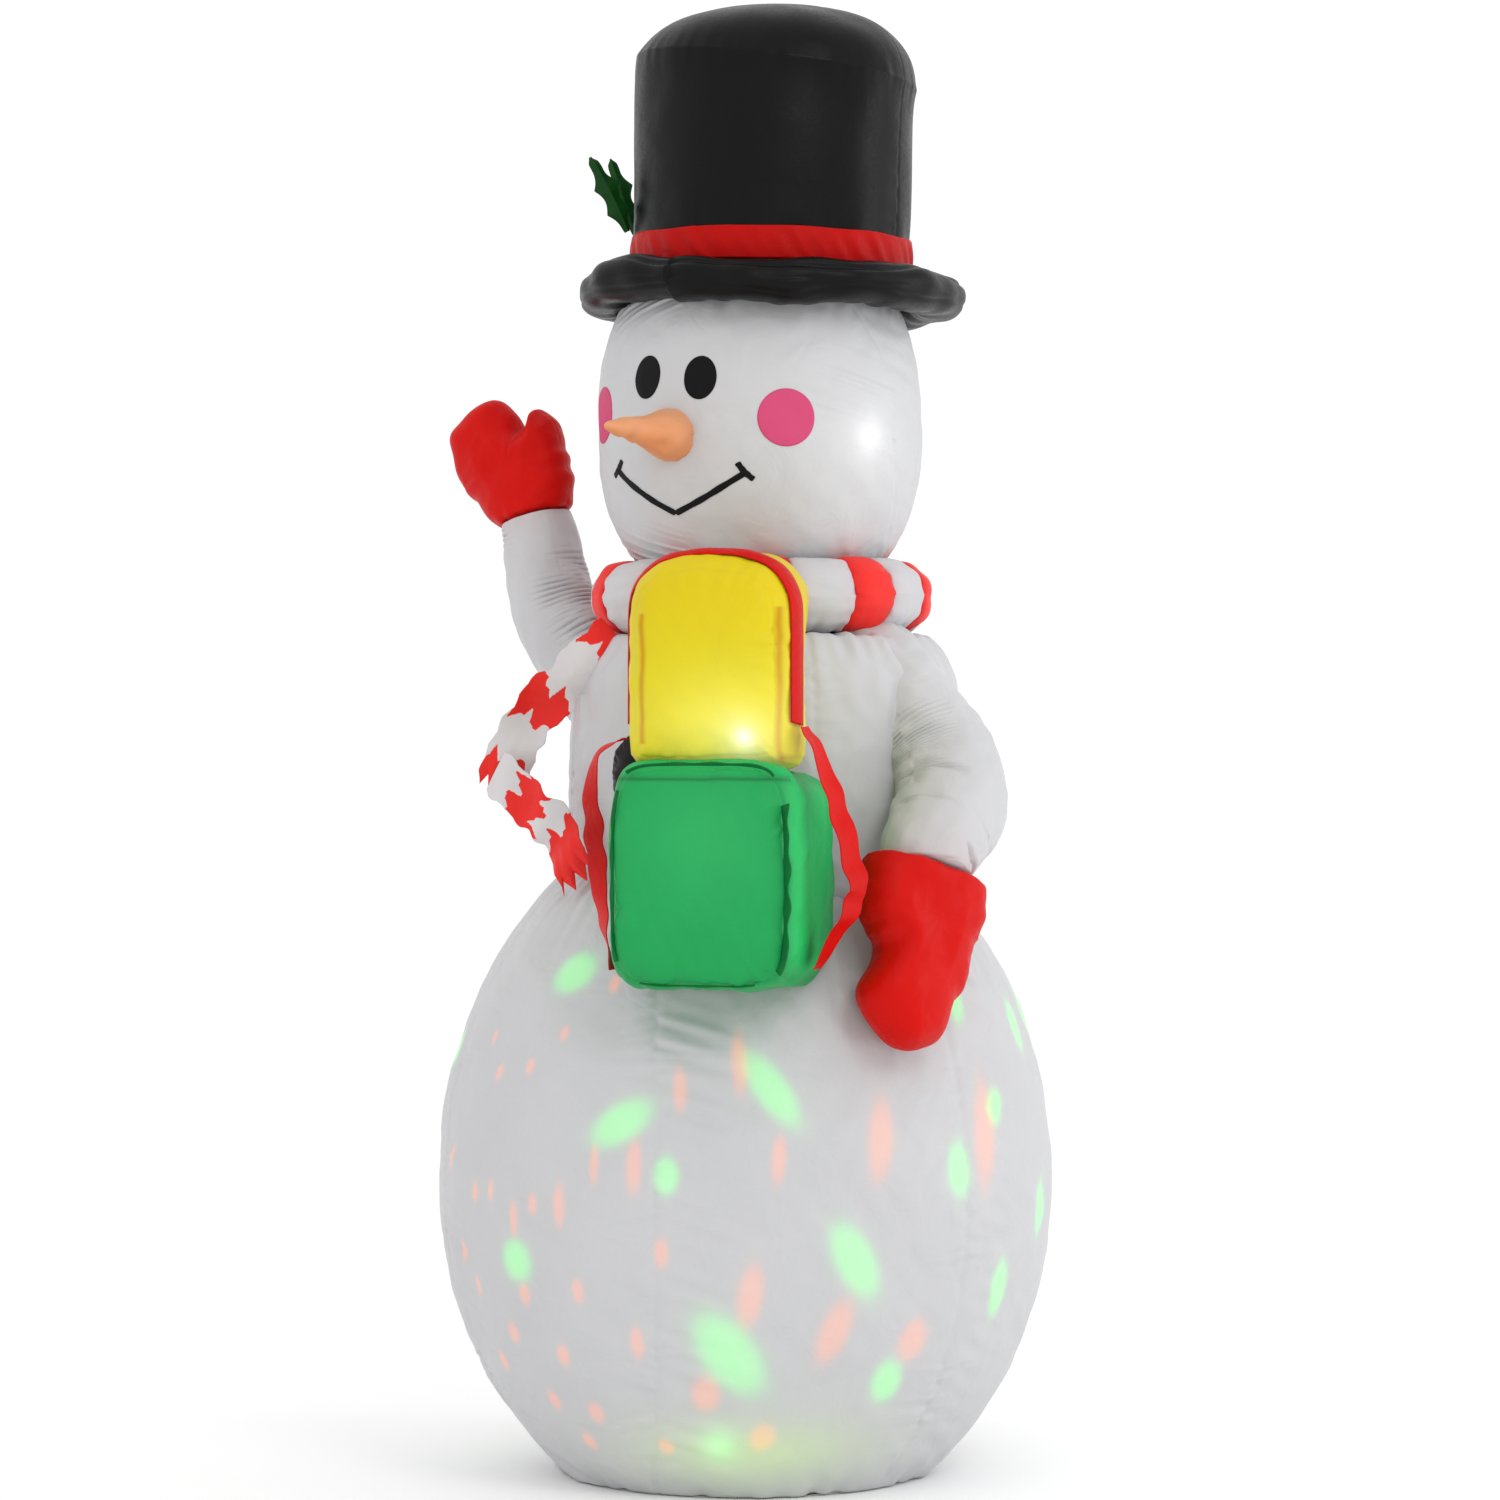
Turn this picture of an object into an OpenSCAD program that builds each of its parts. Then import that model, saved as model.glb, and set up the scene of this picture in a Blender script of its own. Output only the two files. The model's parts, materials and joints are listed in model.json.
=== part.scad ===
// Inflatable yard snowman, inflated and standing on level ground.
// Millimetres. Origin: centre of the flat base on the ground. +Z up, the face looks along -Y.
// The snowman's own left arm is on +X, its raised right arm on -X.

/* [Envelope] */
// Thickness that stands for one layer of polyester
skin = 1.2; // [0.8:0.1:2]
// Widest radius of the lower ball
ball_r = 381; // [360:1:400]
// Height of the ball's widest circle above the ground
ball_mid_z = 365; // [350:1:380]
// Half height of the ellipse below the widest circle
ball_low_h = 450; // [435:1:470]
// Half height of the ellipse above the widest circle
ball_high_h = 470; // [455:1:480]
// Radius of the torso barrel
torso_r = 244; // [235:1:250]
// Widest radius of the head
head_r = 203; // [195:1:206]
// Height of the head's widest circle
head_mid_z = 1300; // [1296:1:1304]
// Direction that the stack leans to, counted from +X towards +Y
lean_dir = 32; // [0:1:90]
// How far the torso stands off the ball's axis
torso_lean = 25; // [10:1:30]
// How far the head stands off the ball's axis
head_lean = 18; // [14:1:24]

/* [Hat] */
// Radius of the crown
crown_r = 174; // [168:1:174]
// Height where the crown's dome starts
crown_side_z = 1731; // [1700:1:1750]
// Height of the crown's dome
crown_dome_h = 95; // [60:1:110]
// Radius to the middle of the brim's tube
brim_mid_r = 211; // [208:1:216]
// Radius of the brim's tube
brim_tube_r = 28; // [24:1:28]
// Height of the middle of the brim's tube
brim_z = 1466; // [1466:1:1475]
// How far the hat stands off the ball's axis
hat_lean = 32; // [28:1:34]
// Tilt of the hat towards the leaning side, in degrees
hat_tilt = 1.2; // [0:0.1:1.4]

/* [Face] */
// Eye width
eye_w = 42; // [30:1:50]
// Eye height
eye_h = 53; // [40:1:60]
// Angle of each eye from the front
eye_az = 11; // [8:0.5:14]
// Cheek diameter
cheek_d = 70; // [50:1:80]
// Angle of each cheek from the front
cheek_az = 41; // [35:1:50]
// Length of the carrot nose
nose_len = 152; // [100:1:170]
// Radius of the nose at the face
nose_r = 31; // [25:1:36]
// Roll of the printed face, lower on the +X side
face_roll = 2.8; // [0:0.1:4]

/* [Scarf] */
// Radius to the middle of the collar's tube
collar_mid_r = 167; // [166:1:169]
// Radius of the collar's tube
collar_tube_r = 46.5; // [40:0.5:47]
// Height of the middle of the collar
collar_z = 1087; // [1085:1:1089]
// Number of red stripes round the collar
collar_stripes = 9; // [6:1:12]
// Angle that one red stripe covers
stripe_angle = 18; // [10:1:25]
// Width of the flat scarf tail
tail_w = 58; // [40:1:70]

/* [Gifts] */
// Half width of the lower gift
green_half_w = 118; // [105:1:120]
// Half depth of the lower gift
green_half_d = 115; // [100:1:118]
// Half width of the upper gift
yellow_half_w = 103; // [90:1:105]
// Half depth of the upper gift
yellow_half_d = 97; // [85:1:100]
// Height of the lower gift's bottom
gift_low_z = 615; // [600:1:640]
// Height where the two gifts meet
gift_seam_z = 877; // [860:1:880]
// Height of the upper gift's top
gift_top_z = 1133; // [1110:1:1135]
// Turn of both gifts from the front, towards +X
gift_yaw = 17; // [0:1:30]
// Width of the gift ribbon
ribbon_w = 34; // [20:1:40]

/* [Blower] */
// Height of the blower's axis
blower_z = 125; // [120:1:135]
// Outer radius of the blower's barrel
barrel_r = 60; // [55:1:62]
// Number of impeller blades
blade_count = 7; // [5:1:9]
// Radius of the impeller's tips
impeller_r = 54; // [45:1:54]
// Radius of the motor shaft
shaft_r = 2; // [1.5:0.1:2.5]

/* [Projector] */
// Distance of the projector in front of the base's centre
projector_y = 70; // [50:1:90]
// Outer radius of the projector's cup and dome
dome_r = 38; // [30:1:40]

/* [Base and zip] */
// Bore radius of a stake grommet
grommet_bore_r = 5; // [4:0.5:6]
// Angle of each stake tab from the back
stake_az = 16; // [14:1:24]
// Height of the deflation zip
zip_z = 330; // [325:1:340]
// Angle from the middle of the zip to each of its ends
zip_half_angle = 30; // [20:1:34]

/* [Hidden] */

$fn = 64;
gap = 0.3;

white_skin = "gainsboro";
red_skin = "red";
black_skin = "dimgray";

lean = [cos(lean_dir), sin(lean_dir), 0];
torso_at = torso_lean * lean;
head_at = head_lean * lean;
hat_at = hat_lean * lean;
collar_at = 20 * lean;

// Unit vector at an azimuth counted from the front (-Y) towards +X.
function bearing(az) = [sin(az), -cos(az), 0];

// One quadrant-spanning superellipse: points from angle a0 to a1 in n steps.
function bow(r, h, mid_z, power, a0, a1, n) = [
    for (i = [0 : n])
    let (a = a0 + (a1 - a0) * i / n)
    [r * pow(abs(cos(a)), 2 / power), mid_z + h * sign(sin(a)) * pow(abs(sin(a)), 2 / power)]
];

function reversed(list) = [for (i = [len(list) - 1 : -1 : 0]) list[i]];
function unit(v) = v / norm(v);
function mixed(a, b, f) = a + (b - a) * f;

// ---------------------------------------------------------------- envelope profiles

ball_foot_angle = asin(-ball_mid_z / ball_low_h);
ball_port_r = 120;

function ball_outline(inset) = concat(
    bow(ball_r - inset, ball_low_h - inset, ball_mid_z, 2,
        asin(-ball_mid_z / (ball_low_h - inset)), 0, 10),
    bow(ball_r - inset, ball_high_h - inset, ball_mid_z, 2, 7, 90, 12)
);

module ball_solid(inset = 0) {
    rotate_extrude() polygon(concat([[0, 0]], ball_outline(inset)));
}

torso_top_z = 1128;
neck_r = 112;
neck_port_r = 70;

// The barrel, the sloping shoulder, the seat under the scarf, and the neck.
function torso_outline(inset) = [
    [torso_r - inset, 660],
    [torso_r - inset, 945],
    [torso_r - 6 - inset, 981],
    [torso_r - 17 - inset, 1006],
    [torso_r - 29 - inset, 1034],
    [torso_r - 37 - inset, 1043 - inset],
    [torso_r - 48 - inset, 1041 - inset],
    [torso_r - 69 - inset, 1037 - inset],
    [neck_r + 6 - inset, 1037 - inset],
    [neck_r - inset, 1042],
    [neck_r - inset, torso_top_z - inset]
];

module torso_solid(inset = 0) {
    translate(torso_at) rotate_extrude()
        polygon(concat([[0, 660]], torso_outline(inset), [[0, torso_top_z - inset]]));
}

head_foot_z = 1130;
head_top_z = 1449;
head_low_h = 226;
head_high_h = 240;
head_power = 2.4;

function head_side(inset) = concat(
    bow(head_r - inset, head_low_h - inset, head_mid_z, head_power, -43, -4, 7),
    bow(head_r - inset, head_high_h - inset, head_mid_z, head_power, 4, 34, 7)
);

function head_outline(inset) = concat(
    [[118, head_foot_z + inset]],
    [for (p = head_side(inset)) if (p[1] < head_top_z - 4 && p[1] > head_foot_z + 5) p],
    [[166 - inset, head_top_z - inset]]
);

module head_solid(inset = 0) {
    translate(head_at) rotate_extrude()
        polygon(concat([[0, head_foot_z + inset]], head_outline(inset),
            [[0, head_top_z - inset]]));
}

module air_port(r, z) {
    translate([0, 0, z]) cylinder(h = 60, r = r, center = true);
}

module lower_ball() {
    color(white_skin) difference() {
        rotate_extrude() polygon(concat(ball_outline(0), reversed(ball_outline(skin))));
        air_port(ball_port_r, ball_mid_z + ball_high_h);
        translate([0, 300, blower_z]) rotate([-90, 0, 0])
            cylinder(h = 120, r = barrel_r + gap, center = true);
        zip_sector(zip_half_angle + 1, 365, 395, -8, 8);
    }
}

module base_panel() {
    color("whitesmoke")
        cylinder(h = skin, r = ball_r * cos(ball_foot_angle) - 2 * skin);
}

module torso() {
    color(white_skin) difference() {
        torso_solid();
        torso_solid(skin);
        translate(torso_at) translate([0, 0, torso_top_z]) cylinder(h = 10, r = neck_r, center = true);
        ball_solid();
        side_port(right_arm_path[0]);
        side_port(left_arm_path[0]);
        lead_port();
    }
}

// An air hole through the torso's wall, behind the root of an arm.
module side_port(at) {
    translate([at[0], at[1], at[2]]) rotate([0, 90, 0]) cylinder(h = 160, r = 30, center = true);
}

module head() {
    color(white_skin) difference() {
        head_solid();
        head_solid(skin);
        translate(head_at) air_port(neck_port_r, head_foot_z);
        translate(head_at) air_port(60, head_top_z);
    }
}

// ---------------------------------------------------------------- face

// A thin layer lying on the head, to be cut to the outline of a face piece.
module face_layer() {
    difference() {
        head_solid(-1.3);
        head_solid(-0.1);
    }
}

// Carries a flat outline to the head's surface at an azimuth, and at a height
// that the roll of the face lowers towards +X.
module on_face(az, z) {
    intersection() {
        face_layer();
        translate(head_at) translate([0, 0, z - head_r * sin(az) * tan(face_roll)])
            rotate([90, 0, az]) translate([0, 0, 100]) linear_extrude(130) rotate(-face_roll) children();
    }
}

eye_z = 1350;
cheek_z = 1305.5;
nose_z = 1279.5;
mouth_end_x = 92;
mouth_end_z = 1237;
mouth_low_z = 1185.5;
mouth_line = 7;

module eyes() {
    color("black") for (side = [-1, 1])
        on_face(side * eye_az, eye_z)
            polygon([for (a = [0 : 12 : 348]) [eye_w / 2 * cos(a), eye_h / 2 * sin(a)]]);
}

module cheeks() {
    color("hotpink") for (side = [-1, 1])
        on_face(side * cheek_az, cheek_z) circle(d = cheek_d);
}

// Height of the smile's middle line at x: a bowed line on each side with a point between.
function smile_z(x) =
    let (f = abs(x) / mouth_end_x)
    (mouth_low_z - nose_z) + (mouth_end_z - mouth_low_z) * (0.8 * f + 0.2 * f * f);

module mouth() {
    half_line = mouth_line / 2;
    xs = [for (i = [-8 : 8]) mouth_end_x * i / 8];
    color("black") on_face(0, nose_z) union() {
        polygon(concat([for (x = xs) [x, smile_z(x) + half_line]],
            reversed([for (x = xs) [x, smile_z(x) - half_line]])));
        for (side = [-1, 1])
            translate([side * mouth_end_x, smile_z(mouth_end_x)]) rotate(side * -48)
                square([26, mouth_line], center = true);
    }
}

// Carrot profile: a full base, a waist, and a slim tip.
function carrot_r(f) = nose_r * (1 - f) * (0.62 + 0.38 * cos(130 * f)) + nose_r * 0.16 * (1 - f * f);

module nose_solid(inset) {
    steps = 12;
    rotate_extrude() polygon(concat([[0, -60]], [[nose_r - inset, -60]],
        [for (i = [0 : steps - 1]) let (f = i / steps)
            [max(carrot_r(f) - inset, 0.5), f * (nose_len - 2 * inset)]],
        [[0, nose_len - 2 * inset]]));
}

module nose() {
    nose_tilt = 1.6;
    color("lightsalmon") difference() {
        translate(head_at) translate([0, -head_r + 8, nose_z]) rotate([90 - nose_tilt, 0, 0])
            difference() {
                nose_solid(0);
                nose_solid(skin);
            }
        head_solid(-0.1);
    }
}

// ---------------------------------------------------------------- hat

// The hat's own frame: leaning and tilted with the hat, heights unchanged.
module in_hat() {
    translate(hat_at) translate([0, 0, brim_z]) rotate(a = hat_tilt, v = [-sin(lean_dir), cos(lean_dir), 0])
        translate([0, 0, -brim_z]) children();
}

crown_foot_z = 1455;
band_low_z = 1495;
band_high_z = 1534;

crown_power = 2.3;
crown_taper = 2;

function crown_outline(inset) = concat(
    [[crown_r - crown_taper - inset, crown_foot_z], [crown_r - inset, crown_side_z - 120]],
    bow(crown_r - inset, crown_dome_h - inset, crown_side_z, crown_power, 4, 90, 10)
);

module crown_solid(inset) {
    rotate_extrude() polygon(concat([[0, crown_foot_z]], crown_outline(inset)));
}

module hat_crown() {
    color(black_skin) in_hat() rotate_extrude()
        polygon(concat(crown_outline(0), reversed(crown_outline(skin))));
}

module brim_section(inset) {
    translate([brim_mid_r, brim_z]) circle(r = brim_tube_r - inset);
    translate([crown_r + gap + inset, brim_z - 6 + inset])
        square([brim_mid_r - crown_r - gap - inset, 30 - 2 * inset]);
}

module hat_brim() {
    color(black_skin) in_hat() rotate_extrude() difference() {
        brim_section(0);
        brim_section(skin);
    }
}

module hat_band() {
    color(red_skin) in_hat() rotate_extrude()
        translate([crown_r + gap, band_low_z]) square([skin, band_high_z - band_low_z]);
}

leaf_len = 108;
leaf_w = 19;
leaf_t = 2;
leaf_foot_z = 1544;
leaf_stand_off = 2;
leaf_turn = 70;

// Holly outline: five pointed lobes on each side of the midrib.
function leaf_edge(side) = [
    for (i = [0 : 10])
    let (f = i / 10, lobe = i % 2 == 1 ? 1.15 : 0.72)
    [side * leaf_w * lobe * pow(sin(180 * (0.06 + 0.94 * f)), 0.7), leaf_len * f]
];

module holly_leaves() {
    // [azimuth, outward tilt in degrees]
    leaves = [[-54, 26], [-76, 20]];
    color("darkgreen") in_hat() for (leaf = leaves) difference() {
        rotate([0, 0, leaf[0]]) translate([0, -crown_r - leaf_stand_off, leaf_foot_z])
            rotate([90 + leaf[1], 0, 0]) rotate([0, leaf_turn, 0]) translate([leaf_w + leaf_t, 0, 0])
                linear_extrude(leaf_t, center = true)
                    polygon(concat(leaf_edge(1), reversed(leaf_edge(-1))));
        crown_solid(-gap);
    }
}

// ---------------------------------------------------------------- scarf

stripe_start = 65;
stripe_pitch = 360 / collar_stripes;

// An arc of the collar's tube between two azimuths.
module collar_arc(az, span) {
    translate(collar_at) translate([0, 0, collar_z]) rotate([0, 0, az - 90])
        rotate_extrude(angle = span) translate([collar_mid_r, 0]) difference() {
            circle(r = collar_tube_r);
            circle(r = collar_tube_r - skin);
        }
}

module scarf_collar_red() {
    color(red_skin) for (i = [0 : collar_stripes - 1])
        collar_arc(stripe_start + i * stripe_pitch, stripe_angle);
}

module scarf_collar_white() {
    color(white_skin) for (i = [0 : collar_stripes - 1])
        collar_arc(stripe_start + stripe_angle + i * stripe_pitch, stripe_pitch - stripe_angle);
}

// The tail: [distance across, height] in the plane of each leg.
upper_leg = [[-162, 1036], [-232, 972], [-276, 917], [-303, 858]];
lower_leg = [[0, 868], [50, 832], [90, 800], [128, 748]];
upper_stripes = [0, 0.13, 0.42, 0.62, 0.86, 1];
lower_stripes = [0, 0.2, 0.48, 0.64, 1];
upper_leg_depth = 84;
lower_leg_step = 6;
fold_across = -300;
fold_yaw = 38;
tail_t = 1.6;

// Point at fraction f of a path with equal steps per leg.
function along(path, f) =
    let (s = f * (len(path) - 1), i = min(floor(s), len(path) - 2))
    mixed(path[i], path[i + 1], s - i);

function side_of(path, f) =
    let (d = unit(along(path, min(f + 0.08, 1)) - along(path, max(f - 0.08, 0))))
    [-d[1], d[0]];

module stripe(path, f0, f1) {
    fs = [for (i = [0 : 3]) mixed(f0, f1, i / 3)];
    linear_extrude(tail_t) polygon(concat(
        [for (f = fs) along(path, f) + side_of(path, f) * tail_w / 2],
        reversed([for (f = fs) along(path, f) - side_of(path, f) * tail_w / 2])));
}

module in_tail_plane() {
    rotate([0, 0, lean_dir]) translate([0, -upper_leg_depth, 0]) rotate([90, 0, 0]) children();
}

module in_fold_plane() {
    rotate([0, 0, lean_dir]) translate([fold_across, -upper_leg_depth - lower_leg_step, 0])
        rotate([0, 0, -fold_yaw]) rotate([90, 0, 0]) children();
}

module tail_stripes(first) {
    difference() {
        in_tail_plane() for (i = [first : 2 : len(upper_stripes) - 2])
            stripe(upper_leg, upper_stripes[i], upper_stripes[i + 1]);
        torso_solid(-gap);
    }
    in_fold_plane() for (i = [1 - first : 2 : len(lower_stripes) - 2])
        stripe(lower_leg, lower_stripes[i], lower_stripes[i + 1]);
}

module scarf_tail_red() {
    color(red_skin) tail_stripes(0);
}

module scarf_tail_white() {
    color(white_skin) tail_stripes(1);
}

// ---------------------------------------------------------------- arms

right_arm_path = [[-190, 0, 955], [-282, 0, 1070], [-318, 0, 1195]];
right_arm_radii = [60, 55, 47];
joint_bulge = 5;

// Points of the bent arm: place and radius. The hand's end is the last one.
left_arm_path = [[190, 0, 995, 60], [272, -4, 900, 65], [312, -34, 838, 69], [322, -80, 797, 63],
    [323, -108, 776, 58], [325, -116, 756, 54]];

module limb(p, q, r1, r2) {
    d = q - p;
    translate(p) rotate([0, acos(d[2] / norm(d)), atan2(d[1], d[0])])
        cylinder(h = norm(d), r1 = r1, r2 = r2);
}

module raised_arm(inset) {
    path = right_arm_path;
    radii = right_arm_radii;
    for (i = [0 : len(path) - 2])
        limb(path[i], path[i + 1], radii[i] - inset, radii[i + 1] - inset);
    for (i = [1 : len(path) - 2])
        translate(path[i]) sphere(r = radii[i] + joint_bulge - inset);
}

module right_arm() {
    color(white_skin) difference() {
        raised_arm(0);
        raised_arm(skin);
        torso_solid();
    }
}

// The hanging arm runs past its end, so that one flat cut makes the cuff's seat.
module hanging_arm(inset) {
    path = left_arm_path;
    last = path[len(path) - 1];
    past = last + 0.5 * (last - path[len(path) - 2]);
    swept_tube([for (p = concat(path, [past])) [p[0], p[1], p[2], p[3] - inset]], 3, 28);
}

module left_arm() {
    $fn = 180;
    color(white_skin) difference() {
        hanging_arm(0);
        hanging_arm(skin);
        torso_solid();
        at_hand(left_arm_path) translate([-100, -100, 0]) cube([200, 200, 60]);
    }
}

// Carries children to the end of an arm, with +Z along the way its last leg points.
module at_hand(path) {
    n = len(path);
    tip = [path[n - 1][0], path[n - 1][1], path[n - 1][2]];
    d = tip - [path[n - 2][0], path[n - 2][1], path[n - 2][2]];
    translate(tip) rotate([0, acos(d[2] / norm(d)), atan2(d[1], d[0])]) children();
}

// The round masses of each mitten standing on its cuff, thumb towards +X: [across, height, radius].
raised_palm = [[-8, 0, 45], [14, 0, 45], [-54, 96, 42], [-48, 118, 40], [-16, 126, 38], [24, 66, 42]];
raised_thumb = [[38, 50, 27], [46, 112, 20]];
hanging_palm = [[-34, 2, 50], [34, 2, 50], [-38, 92, 40], [28, 172, 40], [-8, 186, 40]];
hanging_thumb = [[54, 34, 36], [56, 66, 28]];
raised_turn = 180;
hanging_turn = 216;

module mass(places, inset) {
    hull() for (p = places) translate([p[0], 0, p[1]]) sphere(r = p[2] - inset, $fn = 24);
}

// A mitten in place, turned about the way the fingers point and pressed in where it meets the ball.
module placed_mitten(path, turn, palm, thumb, inset) {
    difference() {
        at_hand(path) rotate([0, 0, turn]) {
            mass(palm, inset);
            mass(thumb, inset);
        }
        ball_solid(-gap - inset);
    }
}

module mitten(path, turn, palm, thumb) {
    below = 150;
    color(red_skin) difference() {
        placed_mitten(path, turn, palm, thumb, 0);
        placed_mitten(path, turn, palm, thumb, skin);
        at_hand(path) translate([-below, -below, gap - below]) cube([2 * below, 2 * below, below]);
    }
}

module right_mitten() {
    mitten(right_arm_path, raised_turn, raised_palm, raised_thumb);
}

module left_mitten() {
    mitten(left_arm_path, hanging_turn, hanging_palm, hanging_thumb);
}

// ---------------------------------------------------------------- gifts

gift_across = -26;
gift_out = 338;
gift_at = gift_across * lean + gift_out * [sin(lean_dir), -cos(lean_dir), 0];

module in_gifts() {
    translate(gift_at) rotate([0, 0, gift_yaw]) children();
}

// A rounded square as a superellipse.
function rounded_square(half_x, half_y, power, n) = [
    for (i = [0 : n - 1])
    let (a = 360 * (i + 0.5) / n)
    [half_x * sign(cos(a)) * pow(abs(cos(a)), 2 / power),
        half_y * sign(sin(a)) * pow(abs(sin(a)), 2 / power)]
];

module green_solid(inset) {
    in_gifts() translate([0, 0, gift_low_z + inset])
        linear_extrude(gift_seam_z - gift_low_z - 2 * inset)
            polygon(rounded_square(green_half_w - inset, green_half_d - inset, 5, 40));
}

yellow_arch_h = 84;

// The upper gift seen from its front: straight sides and an arched top.
function yellow_outline(out) = concat(
    [[yellow_half_w + out, gift_seam_z + gap - min(out, 0)]],
    [for (i = [0 : 16])
        let (a = 180 * i / 16, half = yellow_half_w + out)
        [half * sign(cos(a)) * pow(abs(cos(a)), 2 / 2.6),
            gift_top_z - yellow_arch_h + (yellow_arch_h + out) * pow(abs(sin(a)), 2 / 2.6)]],
    [[-yellow_half_w - out, gift_seam_z + gap - min(out, 0)]]
);

module yellow_solid(inset) {
    half = yellow_half_d - inset;
    in_gifts() translate([0, half, 0]) rotate([90, 0, 0])
        linear_extrude(2 * half) polygon(yellow_outline(-inset));
}

module gift_green() {
    color("mediumseagreen") difference() {
        green_solid(0);
        green_solid(skin);
        ball_solid(-gap);
        torso_solid(-gap);
    }
}

module gift_yellow() {
    color("gold") difference() {
        yellow_solid(0);
        yellow_solid(skin);
        torso_solid(-gap);
        lead_port();
    }
}

// A thin band of the ribbon's width whose edge follows a path in the gifts' front plane.
module ribbon_strip(path, thick) {
    in_gifts() translate([0, ribbon_w / 2, 0]) rotate([90, 0, 0]) linear_extrude(ribbon_w)
        polygon(concat(
            [for (i = [0 : len(path) - 1]) path[i] + strip_side(path, i) * thick / 2],
            reversed([for (i = [0 : len(path) - 1]) path[i] - strip_side(path, i) * thick / 2])));
}

function strip_side(path, i) =
    let (d = unit(path[min(i + 1, len(path) - 1)] - path[max(i - 1, 0)]))
    [-d[1], d[0]];

ribbon_t = 1.6;
right_strip = [[105.5, 925], [112, 916], [124, 898], [146, 839], [170, 750], [166, 718], [121, 644]];
left_strip = [[-105.5, 912], [-118, 908], [-150, 890], [-157, 845], [-156, 790], [-130, 660],
    [-121, 640]];

module gift_green_ribbon() {
    color(red_skin) {
        ribbon_strip(right_strip, ribbon_t);
        ribbon_strip(left_strip, ribbon_t);
    }
}

module gift_yellow_ribbon() {
    color(red_skin) in_gifts() translate([0, ribbon_w / 2, 0]) rotate([90, 0, 0])
        linear_extrude(ribbon_w) difference() {
            polygon(yellow_outline(ribbon_t));
            polygon(yellow_outline(gap));
            translate([-200, gift_seam_z]) square([400, 54]);
        }
}

button_r = 57;
button_z = 866;
button_az = -4;
button_dome_h = 14;
button_depth = 30;

module coal_button() {
    $fn = 180;
    color("black") difference() {
        translate(torso_at) translate([0, 0, button_z]) rotate([90, 0, button_az])
            translate([0, 0, torso_r - button_depth]) rotate_extrude()
                polygon(concat([[0, 0], [button_r, 0]],
                    bow(button_r, button_dome_h, button_depth - 4, 3, 0, 90, 6)));
        torso_solid(-gap);
        green_solid(-gap);
        yellow_solid(-gap);
    }
}

// ---------------------------------------------------------------- blower

barrel_wall = 2;
outlet_y = 240;
split_y = 300;
flange_y = 352;
flange_t = 4;
flange_r = 70;
grille_t = 3;
screw_ring_r = 65;
screw_r = 2;
gland_drop = 42;
gland_r = 6;
lead_r = 3;

// Places children with +Z along the blower's axis, pointing out of the back, at depth y.
module on_blower(y) {
    translate([0, y, blower_z]) rotate([-90, 0, 0]) children();
}

module ring(h, outer, inner) {
    difference() {
        cylinder(h = h, r = outer);
        translate([0, 0, -1]) cylinder(h = h + 2, r = inner);
    }
}

module at_screws() {
    for (i = [0 : 3]) rotate([0, 0, 45 + 90 * i]) translate([screw_ring_r, 0, 0]) children();
}

module blower_outlet_shell() {
    color("darkslategray") on_blower(outlet_y)
        ring(split_y - outlet_y, barrel_r, barrel_r - barrel_wall);
}

module blower_intake_shell() {
    color("darkslategray") difference() {
        union() {
            on_blower(split_y) ring(flange_y - split_y, barrel_r, barrel_r - barrel_wall);
            on_blower(flange_y) ring(flange_t, flange_r, barrel_r - barrel_wall);
        }
        on_blower(flange_y - 1) at_screws() cylinder(h = 20, r = screw_r);
    }
}

module intake_grille() {
    bar = 2.4;
    rim_inner_r = barrel_r - 4;
    color("black") on_blower(flange_y + flange_t) linear_extrude(grille_t) difference() {
        union() {
            difference() {
                circle(r = flange_r);
                circle(r = rim_inner_r);
            }
            for (r = [16 : 10 : 46]) difference() {
                circle(r = r + bar / 2);
                circle(r = r - bar / 2);
            }
            for (a = [0 : 60 : 300]) rotate(a) translate([15.5, -bar / 2]) square([rim_inner_r - 14, bar]);
            translate([0, gland_drop]) circle(r = gland_r + 5);
        }
        at_screws() circle(r = screw_r + 0.1);
        translate([0, gland_drop]) circle(r = gland_r);
    }
}

module housing_screws() {
    color("silver") on_blower(flange_y) at_screws() {
        cylinder(h = flange_t + grille_t, r = screw_r);
        translate([0, 0, flange_t + grille_t]) cylinder(h = 2.2, r = 4);
    }
}

module lead_gland() {
    color("black") on_blower(flange_y + flange_t - 8) translate([0, gland_drop, 0]) difference() {
        union() {
            cylinder(h = 8 + grille_t, r = gland_r);
            translate([0, 0, 8 + grille_t]) cylinder(h = 6, r = gland_r + 3);
            translate([0, 0, 14 + grille_t]) cylinder(h = 10, r1 = gland_r + 1, r2 = lead_r + 1.5);
        }
        translate([0, 0, -1]) cylinder(h = 40, r = lead_r);
    }
}

spider_y = 242;
motor_y = 249;
motor_len = 32;
motor_r = 17;

module motor_spider() {
    color("darkslategray") on_blower(spider_y) {
        difference() {
            union() {
                ring(4, barrel_r - barrel_wall, barrel_r - barrel_wall - 5);
                for (a = [30 : 60 : 330]) rotate([0, 0, a]) translate([12, -1.6, 0])
                    cube([barrel_r - barrel_wall - 16, 3.2, 4]);
                cylinder(h = motor_y - spider_y, r = motor_r + 3);
            }
            translate([0, 0, -1]) cylinder(h = 30, r = 6);
        }
        translate([0, 0, motor_y - spider_y]) ring(12, motor_r + 3, motor_r);
    }
}

module motor_can() {
    color("silver") on_blower(motor_y) difference() {
        union() {
            cylinder(h = motor_len, r = motor_r);
            translate([0, 0, motor_len]) cylinder(h = 2, r = 6);
        }
        translate([0, 0, motor_len - 14]) cylinder(h = 20, r = shaft_r + 0.05);
    }
}

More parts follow.
